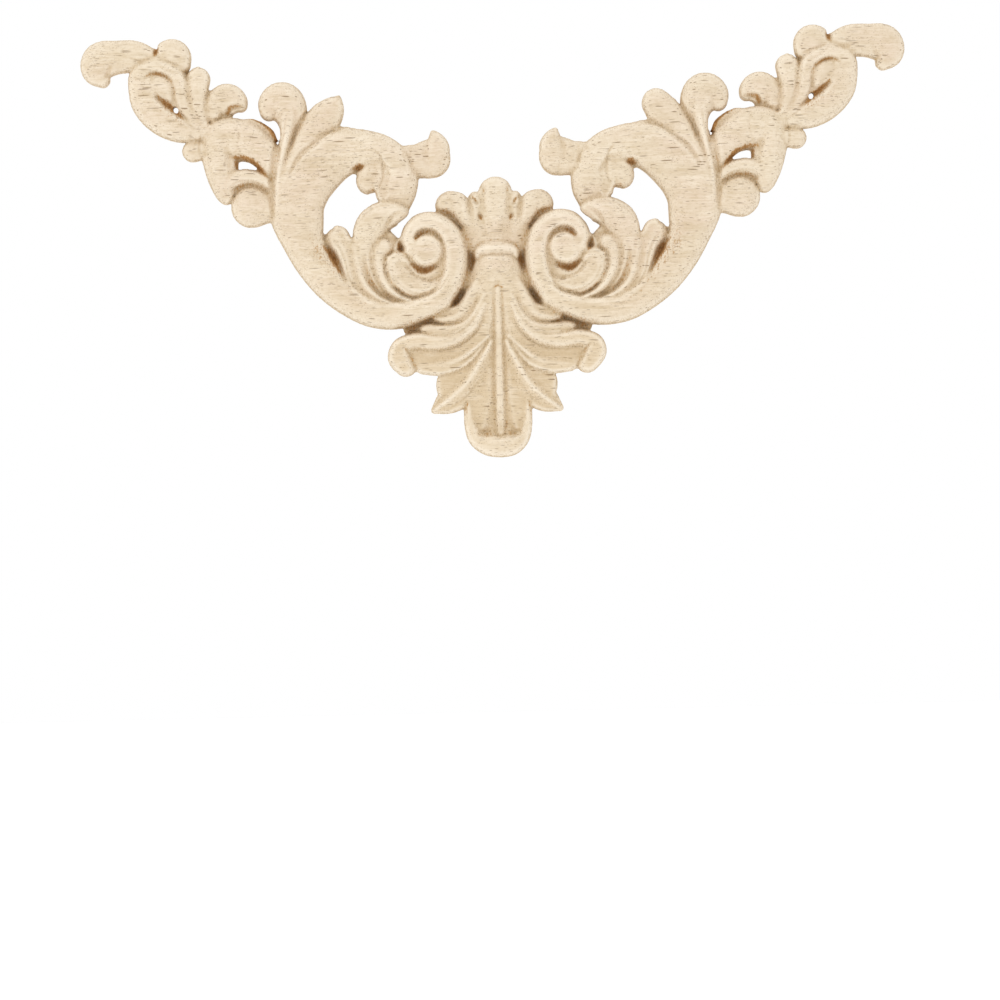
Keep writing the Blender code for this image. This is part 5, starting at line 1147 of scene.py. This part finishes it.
def make_bare_rubberwood():
    """Pale rubberwood straight from the cutter, sawn along x: streaks, open pores, brown scorched pockets,
    painted shade in hollows, painted highlights on crests.
    """
    wood = Finish("bare_rubberwood")
    bend = wood.noise(38, 9, 9, detail=1.0)
    shift = wood.add("ShaderNodeCombineXYZ", {}, {"Z": bend * (GRAIN_BEND * UNIT)})
    bent = wood.add("ShaderNodeVectorMath", {"operation": "ADD"}, {0: wood.place, 1: shift}, "Vector")

    patches = wood.noise(30, 14, 14, place=bent)
    streaks = wood.noise(60, 2.0, 3.0, detail=4.0, roughness=0.6, place=bent)
    fibres = wood.noise(5, 0.34, 0.6, detail=3.0, place=bent)
    mottle = wood.noise(1.1, 0.42, 0.6, roughness=0.6, place=bent)
    clouds = wood.noise(8, 3, 4, place=bent)

    # the board is sandier below, and its patches are cream or faintly pink
    board = wood.add("ShaderNodeSeparateXYZ", {}, {"Vector": bent}, "Z") + patches * (PATCH_LIFT * UNIT)
    colour = wood.mix(wood.step(patches, 0.35, 0.68), CREAM, BLUSH)
    colour = wood.mix(1 - wood.step(board, SANDY_BELOW * UNIT, SANDY_UP_TO * UNIT), colour, SAND)
    grain = [
        # pattern, where it begins and where it is full, its share, its colour
        (clouds, 0.52, 0.72, 0.35, STRAW),
        (clouds, 0.48, 0.28, 0.45, IVORY),
        (streaks, 0.45, 0.72, 0.45, STRAW),
        (fibres, 0.50, 0.68, 0.50, STRAW),
        (fibres, 0.48, 0.32, 0.35, IVORY),
        (mottle, 0.50, 0.66, 0.45, STRAW),
    ]
    layers = [(wood.step(pattern, begin, full) * share, tint) for pattern, begin, full, share, tint in grain]

    hollow, low, proud_highlight, steep, scorch = map(wood.mark, ("hollow", "low", "proud_highlight", "steep", "scorch"))
    stipple = wood.step(wood.noise(0.34, 0.8, 0.8, detail=1.0), 0.44, 0.60)
    layers += [
        # painted highlight on the crests
        (proud_highlight * 0.8, IVORY),
        # painted shade on the low ground
        (low * 0.55, SHADE_HONEY),
        # painted highlight on the slopes; where the stipple falls, a tan that is partly painted shade and
        # partly the cutter's hatch
        (steep * (1 - stipple) * 0.45, IVORY),
        (steep * stipple * 0.25, TAN),
        # painted shade in the hollows, broken up by the stipple
        (hollow * (0.34 + 0.42 * stipple), TAN),
    ]

    ticks = wood.step(wood.noise(0.36, 2.2, 2.2, detail=1.0), 0.35, 0.65)
    blotch = wood.step(wood.noise(0.6, 0.55, 0.6), 0.32, 0.68)
    burnt = (scorch * 1.40 - 0.32 * ticks - 0.42 * blotch).clamped()
    layers += [
        (scorch * 0.45, TAN),
        (wood.step(burnt, 0.0, 0.55), BROWN),
        (wood.step(burnt, 0.45, 1.1), CHAR),
    ]

    crowd = wood.noise(14, 6, 9, detail=1.0)
    vessels = wood.dashes(8.0, 0.72, bent) * wood.step(crowd, 0.42, 0.62)
    pores = wood.dashes(2.6, 0.55, bent) * wood.step(crowd, 0.66, 0.40)
    specks = wood.dashes(0.8, 0.5, wood.place) * wood.step(wood.noise(7, 6, 6, detail=1.0), 0.44, 0.58)
    layers += [(vessels * 0.75, PORE), (pores * 0.5, PORE), (specks * 0.45, PORE)]
    for share, tint in layers:
        colour = wood.mix(share, colour, tint)

    scallops = wood.add("ShaderNodeTexWave", {"bands_direction": "X", "wave_profile": "SIN"}, {
        "Vector": wood.stretched(TOOL_PITCH * 2 * math.pi, 60, 60),
        "Scale": 1.0, "Distortion": 0.0, "Detail": 0.0,
    }, "Fac")
    chatter = wood.step(wood.noise(9, 6, 6, detail=1.0), 0.42, 0.62) * scallops
    depth = fibres * 0.5 + mottle * 0.4 + chatter * 0.6 * (0.25 + steep) - (vessels + pores) * 1.2
    depth = depth + blotch * scorch * 1.5 - stipple * steep * 0.5
    relief = wood.add("ShaderNodeBump", {}, {
        "Height": depth, "Strength": 0.4, "Distance": GRAIN_DEPTH * UNIT,
    }, "Normal")
    wood.feed(wood.shader, {
        "Base Color": colour,
        "Roughness": 0.62 + 0.2 * scorch + 0.08 * fibres,
        "Normal": relief,
        "Specular IOR Level": 0.28,
    })
    return wood.material


def make_paper():
    """The plain white of the floor."""
    paper = Finish("white_paper")
    grain = paper.noise(300, 300, 300)
    paper.feed(paper.shader, {
        "Base Color": paper.mix(grain, (0.95, 0.95, 0.95, 1.0), (0.97, 0.97, 0.97, 1.0)),
        "Roughness": 0.9,
    })
    return paper.material


def make_stage():
    """A white floor well below the onlay, and soft light from the front."""
    bpy.ops.mesh.primitive_plane_add(size=FLOOR_SIZE, location=(0, 0, FLOOR_HEIGHT))
    floor = bpy.context.object
    floor.name = "floor"
    floor.data.materials.append(make_paper())
    bpy.context.scene.view_settings.view_transform = "Standard"

    world = bpy.data.worlds.new("studio")
    bpy.context.scene.world = world
    world.use_nodes = True
    background = world.node_tree.nodes["Background"]
    background.inputs["Color"].default_value = (1.0, 1.0, 1.0, 1.0)
    background.inputs["Strength"].default_value = WORLD_LIGHT

    for name, place, size, power in SOFT_LIGHTS:
        lamp = bpy.data.lights.new(name, "AREA")
        lamp.energy = power
        lamp.size = size
        light = bpy.data.objects.new(name, lamp)
        light.location = place
        aim = Vector((0, max(place[1], 0), 0))
        light.rotation_euler = (aim - light.location).to_track_quat("-Z", "Y").to_euler()
        bpy.context.scene.collection.objects.link(light)


def make_camera():
    """Square on to the front, turned by the lean of the onlay in the photograph."""
    right = Vector((math.cos(LEAN), 0, -math.sin(LEAN)))
    upward = Vector((math.sin(LEAN), 0, math.cos(LEAN)))
    aim = right * VIEW_SHIFT[0] + upward * VIEW_SHIFT[1]
    lens = bpy.data.cameras.new("camera")
    lens.sensor_width = SENSOR
    lens.lens = SENSOR * VIEW_DISTANCE / VIEW_WIDTH
    lens.clip_end = 10
    camera = bpy.data.objects.new("camera", lens)
    place = aim + Vector((0, -VIEW_DISTANCE - MIDDLE_DEPTH, 0))
    axes = Matrix((right, upward, right.cross(upward))).transposed().to_4x4()
    camera.matrix_world = Matrix.Translation(place) @ axes
    bpy.context.scene.collection.objects.link(camera)
    bpy.context.scene.camera = camera


onlay = make_onlay()
onlay.data.materials.append(make_bare_rubberwood())
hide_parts("corner_onlay")
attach(onlay, "root")
make_stage()
make_camera()
